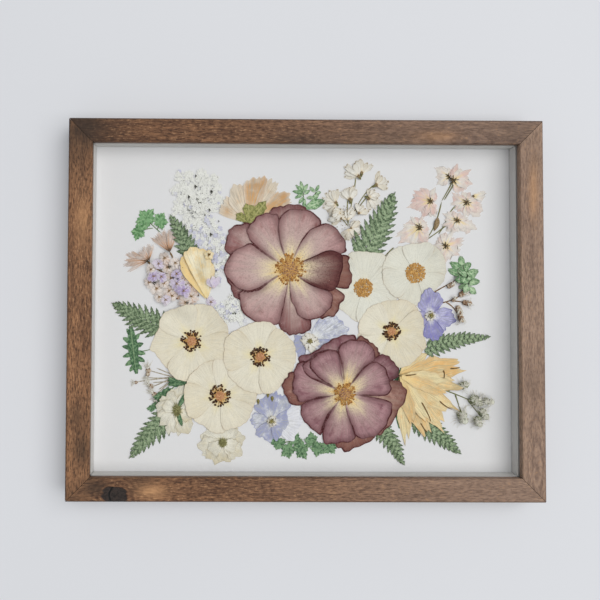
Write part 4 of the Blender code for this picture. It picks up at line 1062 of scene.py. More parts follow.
def lay_statice():
    """Fans of narrow petals and ragged florets laid over one another, with dry brown hearts."""
    press = Pressing("statice_florets", 41, 0.05)
    for x, y, degrees, length, half_width, petals, spread in STATICE_FANS:
        scatter_fan(
            press, (x, y), degrees, length, half_width, petals, 3, spread, ruffle=0.4,
            rounding=0.1, wave=0.08, claw=0.2
        )
    for end in ((-110.4, 46.5), (-128.2, 38.7)):
        press.stem([end, (end[0] + 5, end[1] - 8), (-104, 26)], 0.6, 0.6, 2)
    florets = [(*floret, 1) for floret in STATICE_PEACH]
    florets += [(*floret, 0) for floret in STATICE_LAVENDER]
    for x, y, radius, tone, slot in florets:
        for turn in press.draw.uniform(0, 72) + np.arange(7) * 51:
            press.petal(
                (x, y), turn + press.draw.uniform(-12, 12), radius * press.draw.uniform(0.7, 1.15),
                radius * press.draw.uniform(0.28, 0.44), tone * press.draw.uniform(0.5, 1.3), slot,
                ruffle=0.5, wave=0.12, rounding=0.16, claw=0.15
            )
        lay_beads(press, spiral(4, (x, y), 0.9, 0.9), 0.35, 0.3, 0.6, 2)
        ends = spiral(6, (x, y), 0.7 * radius, 0.7 * radius)
        lay_filaments(press, np.array((x, y)), ends, 0.11, 0.2, 2)
    for x, y, radius in STATICE_SEEDS:
        lay_beads(press, spiral(7, (x, y), radius, radius), 0.3 * radius, 0.5, 0.8, 4)
    finishes = [lilac_petal, peach_floret, calyx_ochre, orange_fan, speck]
    press.make(finishes, "statice_cluster")


lilac_petal = petal_finish(
    "lilac_petal", (240, 230, 244), (196, 176, 224), [((226, 208, 206), 0.3, 0.8)],
    (248, 242, 246), 0.5, 0.6, veins=0.4, blotch=0.8, margin=0.35, margin_width=2.5, sheer=0.5
)
peach_floret = petal_finish(
    "peach_floret", (252, 242, 234), (236, 200, 176), [((220, 186, 146), 0.4, 0.8)],
    (248, 242, 238), 0.5, 0.6, veins=0.45, blotch=0.8, margin=0.4, margin_width=2.5, sheer=0.5
)
orange_fan = petal_finish(
    "orange_fan", (250, 238, 230), (240, 208, 184),
    [((204, 140, 80), 0.8, 0.9), ((84, 56, 28), 0.44, 1.0)],
    (248, 236, 228), 0.4, 0.4, veins=0.6, blotch=0.9, sheer=0.7
)
lay_statice()


# ---- Cut leaves --------------------------------------------------------------------------
# Small bright leaves deeply cut into toothed lobes, like parsley, and a few darker ones. Each
# leaf lies on a thin stalk.


def leaf_finish(name, body, tint, vein_tint, rim, side_veins=7.0, rim_start=0.9):
    """Pressed leaf. A pale midrib runs along the middle, with slanting side veins and mottled
    green between them, and it darkens from where its rim starts outwards."""
    material, start = begin_finish(name)
    spot = start.place()
    over = start.place("UV")
    tone = start.attribute("tone")
    across, along, _ = over.axes()
    aside = abs(across * 2 - 1)
    mottle = spot.noise(600, 4.0, 0.65)
    grain = spot.noise(1500, 2.0)
    slant = start.math("SINE", (along - aside * 0.25) * (2 * math.pi * side_veins))
    vein = (slant - aside * 0.4).rise(0.72, 1.0) * 0.6
    vein = start.math("MAXIMUM", vein, (0.16 - aside).rise(0.0, 0.12))
    tinted = tone * 0.6 + (mottle - 0.5) * 5.0 + 0.2
    colour = tinted.rise(0.0, 1.0).mix(srgb(*body), srgb(*tint))
    colour = (vein * 0.55).mix(colour, srgb(*vein_tint))
    edge = start.math("MAXIMUM", aside, along) + (mottle - 0.5) * 0.2
    colour = (edge.rise(rim_start, 1.05) * 0.6).mix(colour, srgb(*rim))
    height = vein * 0.8 + mottle * 0.5 + grain * 0.3
    end_finish(material, colour, 0.62 + grain * 0.2, height, 0.00015, specular_ior_level=0.25)
    return material


def cut_leaf(press, x, y, radius_x, radius_y, lobes, degrees, tone):
    """A leaf in polar form: its reach rises and falls in straight lines to pointed lobes, with
    smaller pointed teeth between them."""
    angle = np.linspace(-math.pi, math.pi, 24 * lobes + 1)
    phase = press.draw.uniform(0, 6.3)
    lobe = 1 - 2 * np.abs((angle * lobes / (2 * math.pi)) % 1 - 0.5)
    teeth = 1 - 2 * np.abs((angle * lobes * 3 / (2 * math.pi)) % 1 - 0.5)
    reach = 0.58 + 0.32 * lobe + 0.14 * teeth
    reach = reach * (1 + 0.1 * np.sin(2 * angle + phase) * np.sin(angle / 2 + math.pi / 2))
    t = np.linspace(0, 1, 7)[:, None]
    ring = np.dstack([radius_x * t * reach * np.cos(angle), radius_y * t * reach * np.sin(angle)])
    swell = 0.45 * t * (1 - lobe) + 0.25 * t ** 2 * (1 + np.sin(3 * angle + phase)) / 2
    share = (angle * lobes / (2 * math.pi)) % 1.0
    uv = np.dstack([share + 0 * t, t + 0 * share])
    gap = (1 - t) * reach * radius_x
    press.lay_sheet(turned(ring, degrees, (x, y)), swell, uv, gap, tone, 0, 1.5, True)


bright_leaf = leaf_finish(
    "bright_leaf", (134, 178, 128), (80, 124, 78), (176, 208, 162), (60, 98, 60)
)
dull_leaf = leaf_finish("dull_leaf", (124, 158, 118), (66, 100, 70), (158, 184, 142), (46, 72, 50))
leaf_stalk = plain_finish("leaf_stalk", (126, 150, 98), (84, 108, 64), 500)
CUT_LEAVES = {      # node: finish, slot, leaves (centre, radii, lobes, turn, tone), stalks
    "parsley_sprig": (bright_leaf, "bright_leaf", [
        (-130, 74, 9.5, 8.5, 5, 20, 0.2), (-136, 63.5, 8.5, 6.5, 5, 70, 0.5),
        (-118, 72, 7.5, 6.5, 5, 100, 0.1),
    ], [((-130, 74), (-126, 69), (-117.5, 62)), ((-118, 72), (-120, 67), (-121, 64.5)),
        ((-136, 63), (-129, 66), (-124, 66))]),
    "dark_leaves": (dull_leaf, "dark_leaf", [
        (-102, -61, 12, 5, 4, -5, 0.9), (-114.5, -71, 10, 5, 4, 215, 1.0),
        (-123, -81, 6.5, 3.5, 4, 220, 0.8),
    ], [((-102, -61), (-112, -69), (-123, -81))]),
    "lobed_leaves": (dull_leaf, "bright_leaf", [
        (-20.5, -110, 8, 6, 5, 140, 0.4), (-12.5, -116, 8, 6, 5, 250, 0.2),
        (-6.5, -107, 6.5, 5.5, 5, 100, 0.1), (-1.5, -115.5, 9, 6.5, 5, 270, 0.5),
        (6.5, -108, 7, 6, 5, 60, 0.2), (12.0, -114.5, 7.5, 6, 5, 290, 0.3),
        (21.5, -113.5, 8, 6, 5, 340, 0.3),
    ], [((-20, -110), (-10, -109), (0, -107)), ((22, -113), (12, -110), (0, -107))]),
}

for seed, (node, (finish, slot, leaves, stalks)) in enumerate(CUT_LEAVES.items(), start=51):
    press = Pressing(node + "_leaves", seed)
    for points in stalks:
        press.stem(points, 0.45, 0.3, 1)
    for leaf in leaves:
        cut_leaf(press, *leaf)
    press.make([finish, leaf_stalk], node)


# ---- Leaflet sprigs ----------------------------------------------------------------------
# Small sprigs of simple pointed leaflets, fixed along both sides of a rib: a spiky one at the
# top with one broad leaf, a pale, dense one at the right edge, and a dark, jagged one at the left.
pale_leaf = leaf_finish(
    "pale_leaf", (184, 210, 170), (108, 150, 104), (212, 228, 196), (78, 108, 76), 7.0, 0.5
)
LEAFLET_SPRIGS = {  # node: finish, slot, leaflets (base, direction, length, half width), ribs
    "jagged_leaf": (dull_leaf, "green_leaf", [
        (-140.0, -25, 125, 9.5, 1.9), (-140.0, -29, 152, 9.5, 2.1), (-139.5, -27, 52, 7.5, 1.8),
        (-139.3, -32, 22, 8.0, 2.0), (-139.2, -33, 172, 9.5, 2.0), (-139.0, -37, 198, 9.5, 2.0),
        (-138.7, -36, 350, 9.0, 2.0), (-138.5, -40, 335, 9.0, 2.0), (-138.0, -42, 212, 9.5, 2.0),
        (-137.8, -45, 312, 7.5, 1.8), (-138.0, -46, 232, 7.5, 1.8), (-137.0, -54, 98, 39.0, 4.2),
    ], [((-137, -50), (-139, -36), (-141, -20)), ((-139, -36), (-131, -36), (-123, -33))]),
    "green_sprig_top": (pale_leaf, "bright_leaf", [
        (1.3, 83.3, 22, 17.0, 4.0), (7.1, 90.8, 35, 7.0, 2.0), (-0.4, 96.6, 101, 9.3, 1.6),
        (-0.4, 96.6, 135, 8.2, 1.5), (-0.4, 95.8, 169, 8.5, 1.6), (-0.4, 94.9, 207, 7.4, 1.5),
        (-0.4, 96.6, 59, 7.9, 1.5), (0.4, 94.9, 34, 6.0, 1.5), (0.4, 92.4, 231, 6.5, 1.5),
        (1.3, 90.8, 262, 6.8, 1.5), (10.4, 97.5, 63, 5.6, 1.4), (9.6, 96.7, 136, 5.9, 1.5),
        (10.4, 95.8, 12, 4.2, 1.4), (8.7, 92.5, 189, 5.9, 1.5),
    ], [((-0.4, 97), (0, 90), (3.8, 80)), ((10.4, 97), (9, 91), (3, 84))]),
    "leaf_cluster_right": (pale_leaf, "bright_leaf", [
        (132.1, 34.2, 99, 10.1, 3.0), (132.1, 31.8, 143, 12.4, 3.2), (132.9, 28.5, 163, 13.4, 3.3),
        (134.5, 23.5, 171, 10.0, 3.0), (132.1, 32.6, 41, 8.9, 3.0), (133.7, 28.5, 16, 12.2, 3.3),
        (135.3, 23.5, 356, 10.8, 3.2), (137.0, 18.6, 315, 8.1, 2.8), (136.1, 19.4, 187, 7.5, 2.6),
        (133.7, 26.8, 70, 7.0, 2.6), (134.0, 30.0, 110, 7.0, 2.6), (135.0, 21.0, 250, 8.0, 2.6),
        (134.0, 27.0, 130, 9.0, 2.8), (135.0, 25.0, 30, 9.0, 2.8), (135.5, 22.0, 150, 8.0, 2.6),
        (134.5, 30.0, 350, 8.5, 2.6), (136.5, 20.0, 35, 8.0, 2.4), (133.5, 31.5, 70, 6.5, 2.4),
    ], [((138.6, 12.8), (134.5, 24.3), (132.1, 36)), ((134, 24), (130, 22), (126, 22))]),
}

for seed, (node, (finish, slot, leaflets, ribs)) in enumerate(LEAFLET_SPRIGS.items(), start=56):
    press = Pressing(node + "_leaflets", seed)
    for points in ribs:
        press.stem(points, 0.4, 0.3, 1)
    for x, y, degrees, length, half_width in leaflets:
        press.petal(
            (x, y), degrees, length, half_width, press.draw.uniform(0, 1), fullness=0.96,
            rounding=0.02, ruffle=0.4, wave=0.05, spread=1.2
        )
    press.make([finish, leaf_stalk], node)


# ---- Hidden leaf -------------------------------------------------------------------------
# One long dull green leaf that shows only between the lower rose and the apricot petals.
press = Pressing("hidden_leaf_blade", 58)
press.petal((80.5, -98), 88, 51, 7.6, 0.9, fullness=0.9, rounding=0.05, ruffle=0.3)
press.make([dull_leaf], "hidden_leaf")


# ---- Peach blossom -----------------------------------------------------------------------
# Half an open blossom of broad thin petals, cream to peach with one orange streak, in an
# olive-green calyx of three lobes.
PEACH_BASE = (-45.0, 70.8)
PEACH_PETALS = [                  # tone, edge as direction and reach
    (0.0, [(45, 8), (49, 33), (53, 39), (59, 40.5), (66, 38), (70, 8)]),
    (0.3, [(120, 6), (127, 25), (136, 28.7), (145, 26.5), (153, 26.5), (161, 27), (166, 20),
           (170, 6)]),
    (0.9, [(22, 8), (25, 34), (28, 39), (35, 41), (43, 38), (49, 33), (53, 8)]),
    (0.2, [(88, 8), (94, 28), (101, 33), (109, 33.5), (118, 32), (128, 27), (136, 22), (142, 6)]),
    (0.8, [(56, 8), (62, 28), (67, 37), (71, 41), (76, 40.5), (80, 37), (87, 37), (94, 35.5),
           (99, 30), (103, 8)]),
]
PEACH_CALYX = [(146, 12, 3.6, 0.4), (92, 16, 4.6, 0.2), (52, 21, 4.4, 0.5)]

peach_petal = petal_finish(
    "peach_petal", (244, 230, 208), (224, 176, 122), [((240, 222, 186), 0.6, 0.7)],
    (244, 234, 218), 0.5, veins=0.7, blotch=0.9, margin=0.5, margin_width=4.0, sheer=0.35
)
olive_leaf = leaf_finish(
    "olive_leaf", (168, 166, 104), (118, 122, 68), (190, 186, 130), (84, 82, 48)
)
press = Pressing("peach_blossom_petals", 61)
for tone, edge in PEACH_PETALS:
    edge = drawn_through(edge, 41)
    press.fan(PEACH_BASE, edge[:, 0], edge[:, 1], tone, ruffle=0.9, wave=0.03)
press.petal(PEACH_BASE, 68, 40, 1.8, 1.5, ruffle=0.3)
for degrees, length, half_width, tone in PEACH_CALYX:
    press.petal(
        PEACH_BASE, degrees, length, half_width, tone, 1, rounding=0.15, fullness=0.55, wave=0.07
    )
press.make([peach_petal, olive_leaf], "peach_blossom")


# ---- Fern tips ---------------------------------------------------------------------------
# Flat green fern tips: narrow toothed leaflets set alternately along both sides of a thin rib,
# long near the base and short towards the tip.
FERNS = {                         # node: base, tip, half width, leaflets a side, bow, tone
    "fern_small": ((-93, 43), (-110, 76), 9.0, 8, -1.0, 0.5),
    "fern_left": ((-113.5, -17), (-156.5, 4), 13.0, 10, 1.5, 0.7),
    "fern_lower_left": ((-106, -84), (-141, -122), 12.0, 10, -1.5, 0.5),
    "fern_lower_middle": ((61, -94), (82, -127), 9.0, 9, 1.5, 0.4),
    "fern_lower_right": ((92, -90), (128.5, -118), 10.5, 10, 1.0, 0.5),
    "fern_upper": ((46, 40), (75, 96), 15.5, 11, -2.0, 0.5),
}
FERN_RIGHT = ((101, -32), (153.5, -23), 8.5, 12, 2.0, 0.4)      # laid over the apricot petals


def lay_leaflet(press, base, degrees, length, half_width, teeth, tone):
    """A leaflet, widest near its base: its width falls off as a power of 1 - t to a pointed
    tip, with teeth as a sine of t cut into it. Both halves lean forward and rise a little
    from the midrib."""
    t = np.linspace(0, 1, 4 * teeth + 2)[:, None]
    s = np.linspace(-1, 1, 5)[None, :]
    notch = 1 - 0.3 * np.abs(np.sin(math.pi * teeth * t)) ** 1.5
    across = half_width * s * (1 - t) ** 0.75 * np.minimum(1, 0.7 + 2 * t) * notch
    along = length * t + 0.55 * np.abs(across)
    uv = np.dstack([(s + 1) / 2 + 0 * t, t + 0 * s])
    relief = 0.25 * np.abs(s) + 0.15 * press.crinkle(s, t, 1.0)
    flat = turned(np.dstack([along, across]), degrees, base)
    gap = (1 - t) * length + 0 * s
    press.lay_sheet(flat, relief, uv, gap, tone, 0, 1.2)


def lay_fern(node, base, tip, half_width, leaflets, bow, tone, seed):
    """Leaflets leave the rib at an angle that closes towards the tip. Their length follows
    the fern's outline, a power of what is left of the rib, and they overlap a little."""
    press = Pressing(node + "_fronds", seed)
    base, tip = np.array(base, float), np.array(tip, float)
    reach = tip - base
    heading = math.degrees(math.atan2(reach[1], reach[0]))
    aside = np.array([-reach[1], reach[0]]) / np.linalg.norm(reach)
    middle = (base + tip) / 2 + 2 * bow * aside
    press.stem([base, middle, tip - reach * 0.04], 0.55, 0.2, 1, 16)
    pitch = np.linalg.norm(reach) / leaflets
    rib = bent([base, middle, tip], 2 * leaflets + 1)
    for k in range(2 * leaflets):
        share = k / (2 * leaflets)
        side = 1 if k % 2 else -1
        angle = 56 - 26 * share + press.draw.uniform(-3, 3)
        length = half_width * (1 - share) ** 0.85 * (1.25 + 1.35 * share)
        length = max(length, 2.4) * press.draw.uniform(0.93, 1.05)
        lay_leaflet(
            press, rib[k], heading + side * angle, length, pitch * (0.86 - 0.3 * share),
            5 if share < 0.7 else 3, tone * press.draw.uniform(0.5, 1.4)
        )
    lay_leaflet(press, rib[-3], heading, pitch * 1.4, 1.4, 3, tone)
    press.make([fern_leaf, leaf_stalk], node)


fern_leaf = leaf_finish(
    "fern_leaf", (158, 178, 142), (90, 112, 82), (188, 202, 164), (56, 68, 46), 5.0, 0.4
)
for seed, (node, values) in enumerate(FERNS.items(), start=71):
    lay_fern(node, *values, seed)


# ---- Yellow petals -----------------------------------------------------------------------
# Crumpled pale yellow petals in one tuft, orange-yellow along the left edge, with a few lilac
# petals and a tiny yellow blossom caught among them.
YELLOW_PETALS = [                 # tone, edge as direction and reach
    (0.5, [(70, 12), (76, 26), (84, 31), (90, 33), (95, 20)]),
    (0.95, [(108, 20), (113, 43), (120, 41), (127, 37), (133, 29), (137, 12)]),
    (0.35, [(80, 12), (84, 32), (92, 41), (98, 43), (105, 45), (112, 44), (118, 41), (121, 15)]),
]
YELLOW_BASE = (-79.4, 6.8)

yellow_petal = petal_finish(
    "yellow_petal", (252, 245, 218), (244, 212, 148), [((240, 214, 150), 0.55, 0.7)],
    (232, 206, 150), 0.4, 0.6, veins=0.6, blotch=1.1, margin=0.3
)
press = Pressing("yellow_petal_tuft", 81)
for tone, edge in YELLOW_PETALS:
    edge = drawn_through(edge, 31)
    press.fan(YELLOW_BASE, edge[:, 0], edge[:, 1], tone, ruffle=0.9, wave=0.012)
scatter_fan(press, (-74.0, 17.0), 95, 9.0, 3.4, 3, 1, ruffle=0.6)
for turn in range(5):
    press.petal((-78.0, 44.0), 72 * turn + 20, 4.2, 1.8, 0.4, ruffle=0.3)
lay_beads(press, spiral(6, (-78.0, 44.0), 1.2, 1.2), 0.5, 0.2, 0.7, 2)
press.make([yellow_petal, lilac_petal, calyx_ochre], "yellow_petals")


# ---- Two ivory blossoms ------------------------------------------------------------------
# Crumpled ivory blossoms at the lower left: one with a green, fuzzy eye and ochre streaks, and
# one that lies partly under a cream flower.
IVORY_BLOSSOMS = {  # node: centre, petals (direction, length, half width), eye radii, leaves
    "green_eye_blossom": ((-103.5, -83.0), [
        (80, 19, 8), (20, 13, 7), (130, 16, 7.5), (175, 17, 7), (215, 17, 7), (262, 20, 7.5),
        (295, 21, 7), (335, 14, 6.5), (50, 15, 6), (155, 12, 5.5),
    ], (3.4, 4.6), ((62, 17), (288, 14))),
    "ivory_blossom": ((-66.0, -109.5), [
        (15, 17.5, 8), (60, 15, 7.5), (105, 16, 7), (150, 18, 8), (195, 20, 8.5), (240, 18, 8),
        (285, 16, 7.5), (325, 18, 7.5), (215, 13, 6), (340, 12, 6),
    ], (3.0, 3.0), ()),
}

ivory_crepe = petal_finish(
    "ivory_crepe", (250, 246, 230), (240, 228, 194), [((214, 204, 150), 0.4, 0.7)],
    (186, 170, 132), 0.3, 0.5, veins=0.6, blotch=0.8, sheer=0.4
)
for seed, (node, (centre, petals, eye, leaves)) in enumerate(IVORY_BLOSSOMS.items(), start=91):
    press = Pressing(node + "_petals", seed)
    for degrees, length, half_width in petals:
        press.petal(
            centre, degrees, length, half_width, press.draw.uniform(0, 0.8), ruffle=1.0, wave=0.09,
            rounding=0.22
        )
    for degrees, length in leaves:
        press.petal(centre, degrees, length, 1.8, 0.8, 2, rounding=0.1, fullness=0.9, ruffle=0.3)
    dots = spiral(34, centre, *eye)
    hairs = spiral(40, centre, eye[0] * 1.7, eye[1] * 1.7)
    lay_filaments(press, centre, hairs, 0.22, 0.3, 1)
    lay_beads(press, dots, 0.55, 0.4, press.draw.uniform(0, 1, 34), 1)
    press.make([ivory_crepe, calyx_green, dull_leaf], node)


# ---- Apricot alstroemeria ----------------------------------------------------------------
# Long pointed petals that fan out to the lower right, pale yellow to apricot, with fine
# parallel veins and a few brown, rolled edges.
ALSTROEMERIA_BASE = (80.0, -55.0)
ALSTROEMERIA_PETALS = [           # direction, length, half width, tone
    (47, 29, 6.6, 0.3), (9, 50, 11.0, 0.75), (-10, 48, 8.6, 0.4), (-85, 52, 5.6, 0.2),
    (-66, 51, 7.6, 0.6), (-50, 53, 9.2, 0.45), (-32, 50, 8.2, 0.3), (-5, 36, 6.2, 0.15),
    (-57, 43, 5.8, 0.1), (-76, 40, 5.0, 0.5), (-20, 38, 5.2, 0.6),
]
ALSTROEMERIA_CURLS = [            # dried, rolled edges
    ((115.5, -50), (117, -53.5), (115.5, -57)), ((121, -48.5), (126, -49), (129.5, -47.5)),
    ((112, -75), (117, -80.5), (122.5, -82)), ((97, -76), (102, -84), (104.5, -92)),
    ((96, -93), (99, -98), (101, -101)), ((83, -54), (88, -54), (93, -53)),
]

apricot_petal = petal_finish(
    "apricot_petal", (246, 230, 184), (238, 190, 124), [((246, 220, 158), 0.6, 0.6)],
    (222, 200, 158), 0.4, 0.7, veins=0.9, blotch=0.9, margin=0.5, margin_width=3.5
)
press = Pressing("alstroemeria_petals", 101)
for degrees, length, half_width, tone in ALSTROEMERIA_PETALS:
    press.petal(
        ALSTROEMERIA_BASE, degrees, length, half_width, tone, fullness=0.78, rounding=0.2,
        ruffle=1.1, wave=0.08
    )
for points in ALSTROEMERIA_CURLS:
    press.stem(points, 0.5, 0.8, 1)
press.make([apricot_petal, calyx_ochre], "alstroemeria")
lay_fern("fern_right", *FERN_RIGHT, 79)


# ---- Larkspurs ---------------------------------------------------------------------------
# Three larkspur blossoms with thin lavender-blue petals, pale near the middle, a ragged white
# beard and olive stamens. The right one is a deeper blue-violet.
LARKSPURS = {                     # node: centre, beard, petals (finish, tone, edge), scraps
    "larkspur_lower": ((-26.0, -92.0), 4.5, [
        (3, 0.3, [(-58, 8), (-50, 20), (-35, 24), (-15, 24), (9, 24), (29, 25), (38, 22), (44, 8)]),
        (0, 0.6, [(30, 7), (38, 20), (48, 22.5), (60, 23.5), (70, 23), (78, 19), (84, 7)]),
        (0, 0.9, [(68, 8), (78, 22), (90, 23), (106, 19.5), (131, 19.5), (144, 17), (152, 6)]),
        (0, 0.5, [(142, 6), (157, 16), (176, 16.5), (194, 16), (206, 14), (212, 6)]),
        (0, 1.0, [(198, 6), (210, 15), (225, 16.5), (242, 16), (264, 17), (276, 14), (284, 6)]),
        (0, 0.7, [(268, 6), (280, 15.5), (300, 14), (327, 13), (352, 13.5), (375, 14), (395, 14),
                  (404, 7)]),
    ], [(-39.0, -71.0), (-37.0, -76.5), (-29.0, -71.0), (-25.5, -74.0), (-42.0, -74.0)]),
    "larkspur_middle": ((5.2, -26.5), 8.5, [
        (3, 0.4, [(62, 8), (74, 17), (92, 18), (115, 17), (138, 15), (150, 7)]),
        (0, 0.3, [(-10, 8), (4, 26), (12, 31), (22, 34), (34, 31), (46, 27), (56, 22), (66, 19),
                  (76, 8)]),
        (0, 1.3, [(148, 6), (160, 13), (183, 12.5), (205, 14), (226, 15), (245, 14), (258, 6)]),
        (0, 0.8, [(-60, 8), (-46, 17), (-30, 19), (-12, 20), (2, 18), (10, 8)]),
        (3, 0.5, [(246, 6), (262, 17), (285, 19), (305, 18), (322, 14), (330, 6)]),
    ], []),
}
DEEP_LARKSPUR = ((105.0, -5.0), 4.5, [
    (0, 0.5, [(36, 8), (47, 16), (62, 18), (80, 19.5), (94, 24), (104, 20), (112, 18), (128, 15),
              (141, 13.5), (152, 7)]),
    (0, 0.3, [(-58, 8), (-48, 16.5), (-36, 17.5), (-23, 18.7), (-6, 20), (6, 19), (17, 16.7),
              (32, 12), (40, 7)]),
    (0, 0.9, [(240, 7), (249, 15.8), (260, 19), (272, 20.5), (286, 20), (299, 19.8), (310, 16),
              (316, 8)]),
    (0, 0.6, [(146, 6), (165, 12), (190, 13), (215, 13), (236, 11), (246, 6)]),
], [])


def lay_larkspur(node, centre, beard, petals, scraps, finish, slot, seed):
    """Broad thin petals, a ragged white beard of short petals, a tuft of olive stamens and a
    few small dry scraps."""
    press = Pressing(node + "_petals", seed)
    for part, tone, edge in petals:
        edge = drawn_through(edge, 31)
        press.fan(centre, edge[:, 0], edge[:, 1], tone, part, ruffle=1.0, wave=0.05)
    for turn in range(9):
        press.petal(
            centre, 40 * turn + press.draw.uniform(-15, 15), beard * press.draw.uniform(0.7, 1.1),
            beard * 0.32, 0.2, 1, ruffle=0.3, wave=0.12, rounding=0.15
        )
    ends = spiral(16, centre, 2.4, 2.4)
    lay_filaments(press, centre, ends[4:], 0.2, 0.3, 2)
    lay_beads(press, ends, 0.42, 0.5, press.draw.uniform(0, 1, 16), 2)
    strewn = spiral(9, centre, beard, beard) + press.draw.uniform(-1, 1, (9, 2))
    lay_beads(press, strewn, 0.35, 0.4, 0.8, 4)
    for x, y in scraps:
        press.stem([(x, y + 2.5), (x, y - 2.5)], 1.2, 0.5, 2, 7, 8, 0.7)
    press.make([finish, ivory_petal, olive_stamen, white_petal, speck], node)


pale_blue_petal = petal_finish(
    "pale_blue_petal", (230, 232, 238), (162, 166, 200), [((242, 242, 236), 0.5, 0.8)],
    (146, 150, 196), 0.4, 0.5, veins=0.9, blotch=2.0, speckle=0.4, depth=0.0003
)
blue_petal = petal_finish(
    "blue_petal", (206, 204, 234), (144, 140, 198), [((240, 240, 240), 0.5, 0.9)],
    (96, 96, 160), 0.4, 0.6, veins=0.9, blotch=1.6, speckle=0.35, margin=0.15, depth=0.0003
)
white_petal = petal_finish(
    "thin_white_petal", (238, 238, 240), (214, 216, 230), [((240, 238, 226), 0.5, 0.7)],
    (206, 206, 218), 0.3, 0.4, veins=0.4, blotch=0.6
)
olive_stamen = plain_finish("olive_stamen", (176, 164, 96), (92, 84, 46), 1500)
for seed, (node, values) in enumerate(LARKSPURS.items(), start=111):
    lay_larkspur(node, *values, pale_blue_petal, "pale_blue_petal", seed)


# ---- Cream flowers -----------------------------------------------------------------------
# Six round cream blossoms of five or six broad petals that hardly part. Four have a ring of
# dark brown stamens round a tan middle; two have a flat gold disc.
CREAM_FLOWERS = [                 # centre, petals, first direction, eye radius, gold disc
    ((49.7, 17.4), 5, 80, 8.0, True), ((92.8, 30.0), 6, 25, 8.6, True),
    ((-92.0, -27.0), 5, 48, 8.3, False), ((-68.5, -71.7), 6, 10, 8.5, False),
    ((72.8, -18.3), 5, 75, 7.2, False), ((-35.6, -39.6), 5, 95, 7.8, False),
]
CREAM_EDGES = [                   # for each flower: reach of its edge in some directions
    [(0, 29), (45, 31), (62, 32.7), (78, 29.8), (107, 30.8), (180, 29), (215, 27), (239, 25.5),
     (262, 29.5), (300, 29)],
    [(12, 26), (53, 27.4), (70, 27), (90, 24.3), (116, 25), (134, 26.8), (160, 27.7), (200, 27.5),
     (240, 26), (270, 27.5), (290, 25.5), (316, 21.5), (335, 22.8)],
    [(0, 32), (45, 31.5), (62, 33), (90, 30.3), (120, 30.3), (138, 32.4), (160, 29.5), (176, 31),
     (191, 35), (200, 31), (225, 30.5), (253, 33), (300, 34), (330, 32)],
    [(0, 30), (20, 31), (60, 30), (100, 30), (140, 29.5), (170, 30), (185, 29), (208, 30),
     (223, 29), (243, 28), (268, 30.7), (290, 28), (308, 30.4), (335, 29.4)],
    [(0, 26), (30, 28.4), (48, 29.2), (67, 28), (90, 25.4), (112, 25.8), (148, 27.1), (190, 28),
     (240, 29), (285, 30.8), (323, 30.7), (337, 31), (348, 27.6)],
    [(0, 29.7), (21, 29.7), (36, 28.6), (53, 28), (81, 29.3), (109, 28.2), (124, 29), (140, 31),
     (155, 31.6), (180, 30), (250, 30), (293, 30.8), (313, 28.4), (330, 28.5)],
]


def lay_cream_flower(number, finish):
    """Petals that together fill the flower's edge and overlap a little, and the eye:
    filaments that end on a ring, each with an anther, or a spiral disc of anthers."""
    centre, petals, first, eye, gold = CREAM_FLOWERS[number - 1]
    centre = np.array(centre)
    node = "cream_flower_%d" % number
    press = Pressing(node + "_petals", 120 + number)
    edge = np.array(CREAM_EDGES[number - 1], float)
    edge = drawn_through(np.concatenate([edge - (360, 0), edge, edge + (360, 0)]), 400)
    half = 180 / petals + 7
    s = np.linspace(-1, 1, 35)
    order = first + np.arange(petals) * 360 / petals
    for turn in np.concatenate([order[::2], order[1::2]]):
        degrees = turn + half * s
        reach = np.interp(degrees, edge[:, 0], edge[:, 1]) * (1 - 0.3 * np.abs(s) ** 12)
        press.fan(
            centre, degrees, reach, press.draw.uniform(0, 0.5), ruffle=0.45, wave=0.01, spread=3.6
        )
    if gold:
        heads = spiral(200, centre, eye * 0.95, eye * 0.95)
        heads = heads + press.draw.uniform(-0.5, 0.5, (200, 2))
        away = np.linalg.norm(heads - centre, axis=1) / eye
        radii = press.draw.uniform(0.5, 0.85, 200)
        lift = press.draw.uniform(0.2, 0.9, 200) - 0.3 * away
        lay_beads(press, heads, radii, lift, press.draw.uniform(0, 1, 200), 1)
    else:
        count = 84
        angle = press.draw.uniform(0, 2 * math.pi, count)
        reach = eye * press.draw.uniform(0.52, 1.05, count)
        ends = centre + np.column_stack([reach * np.cos(angle), reach * np.sin(angle)])
        lay_filaments(press, centre, ends, 0.2, 0.4, 1)
        lay_beads(press, ends, press.draw.uniform(0.5, 0.85, count), 0.4,
                  press.draw.uniform(0, 1, count), 2, 1.5)
        middle = spiral(40, centre, eye * 0.42, eye * 0.42)
        lay_beads(press, middle, 0.7, 0.6, press.draw.uniform(0, 0.8, 40), 3)
    press.make([finish, gold_stamen, brown_anther, tan_middle], node)


gold_stamen = plain_finish("gold_stamen", (228, 184, 112), (170, 120, 62), 1500)
cool_cream = petal_finish(
    "cool_cream_petal", (234, 233, 220), (224, 219, 200), [((238, 232, 204), 0.5, 0.5)],
    (186, 164, 138), 0.28, 0.5, veins=0.22, blotch=0.4, margin=0.1, depth=0.0003
)
warm_cream = petal_finish(
    "warm_cream_petal", (237, 231, 212), (228, 216, 186),
    [((242, 228, 170), 0.6, 0.6), ((236, 200, 120), 0.36, 0.5)],
    (186, 160, 130), 0.28, 0.5, veins=0.22, blotch=0.45, margin=0.1, depth=0.0003
)
brown_anther = plain_finish("brown_anther", (104, 66, 34), (44, 28, 20), 1500)
tan_middle = plain_finish("tan_middle", (222, 172, 128), (164, 108, 70), 1500)
for number, finish in enumerate((cool_cream, cool_cream, warm_cream, warm_cream), start=1):
    lay_cream_flower(number, finish)
lay_larkspur("larkspur_right", *DEEP_LARKSPUR, blue_petal, "blue_petal", 118)
lay_cream_flower(5, warm_cream)
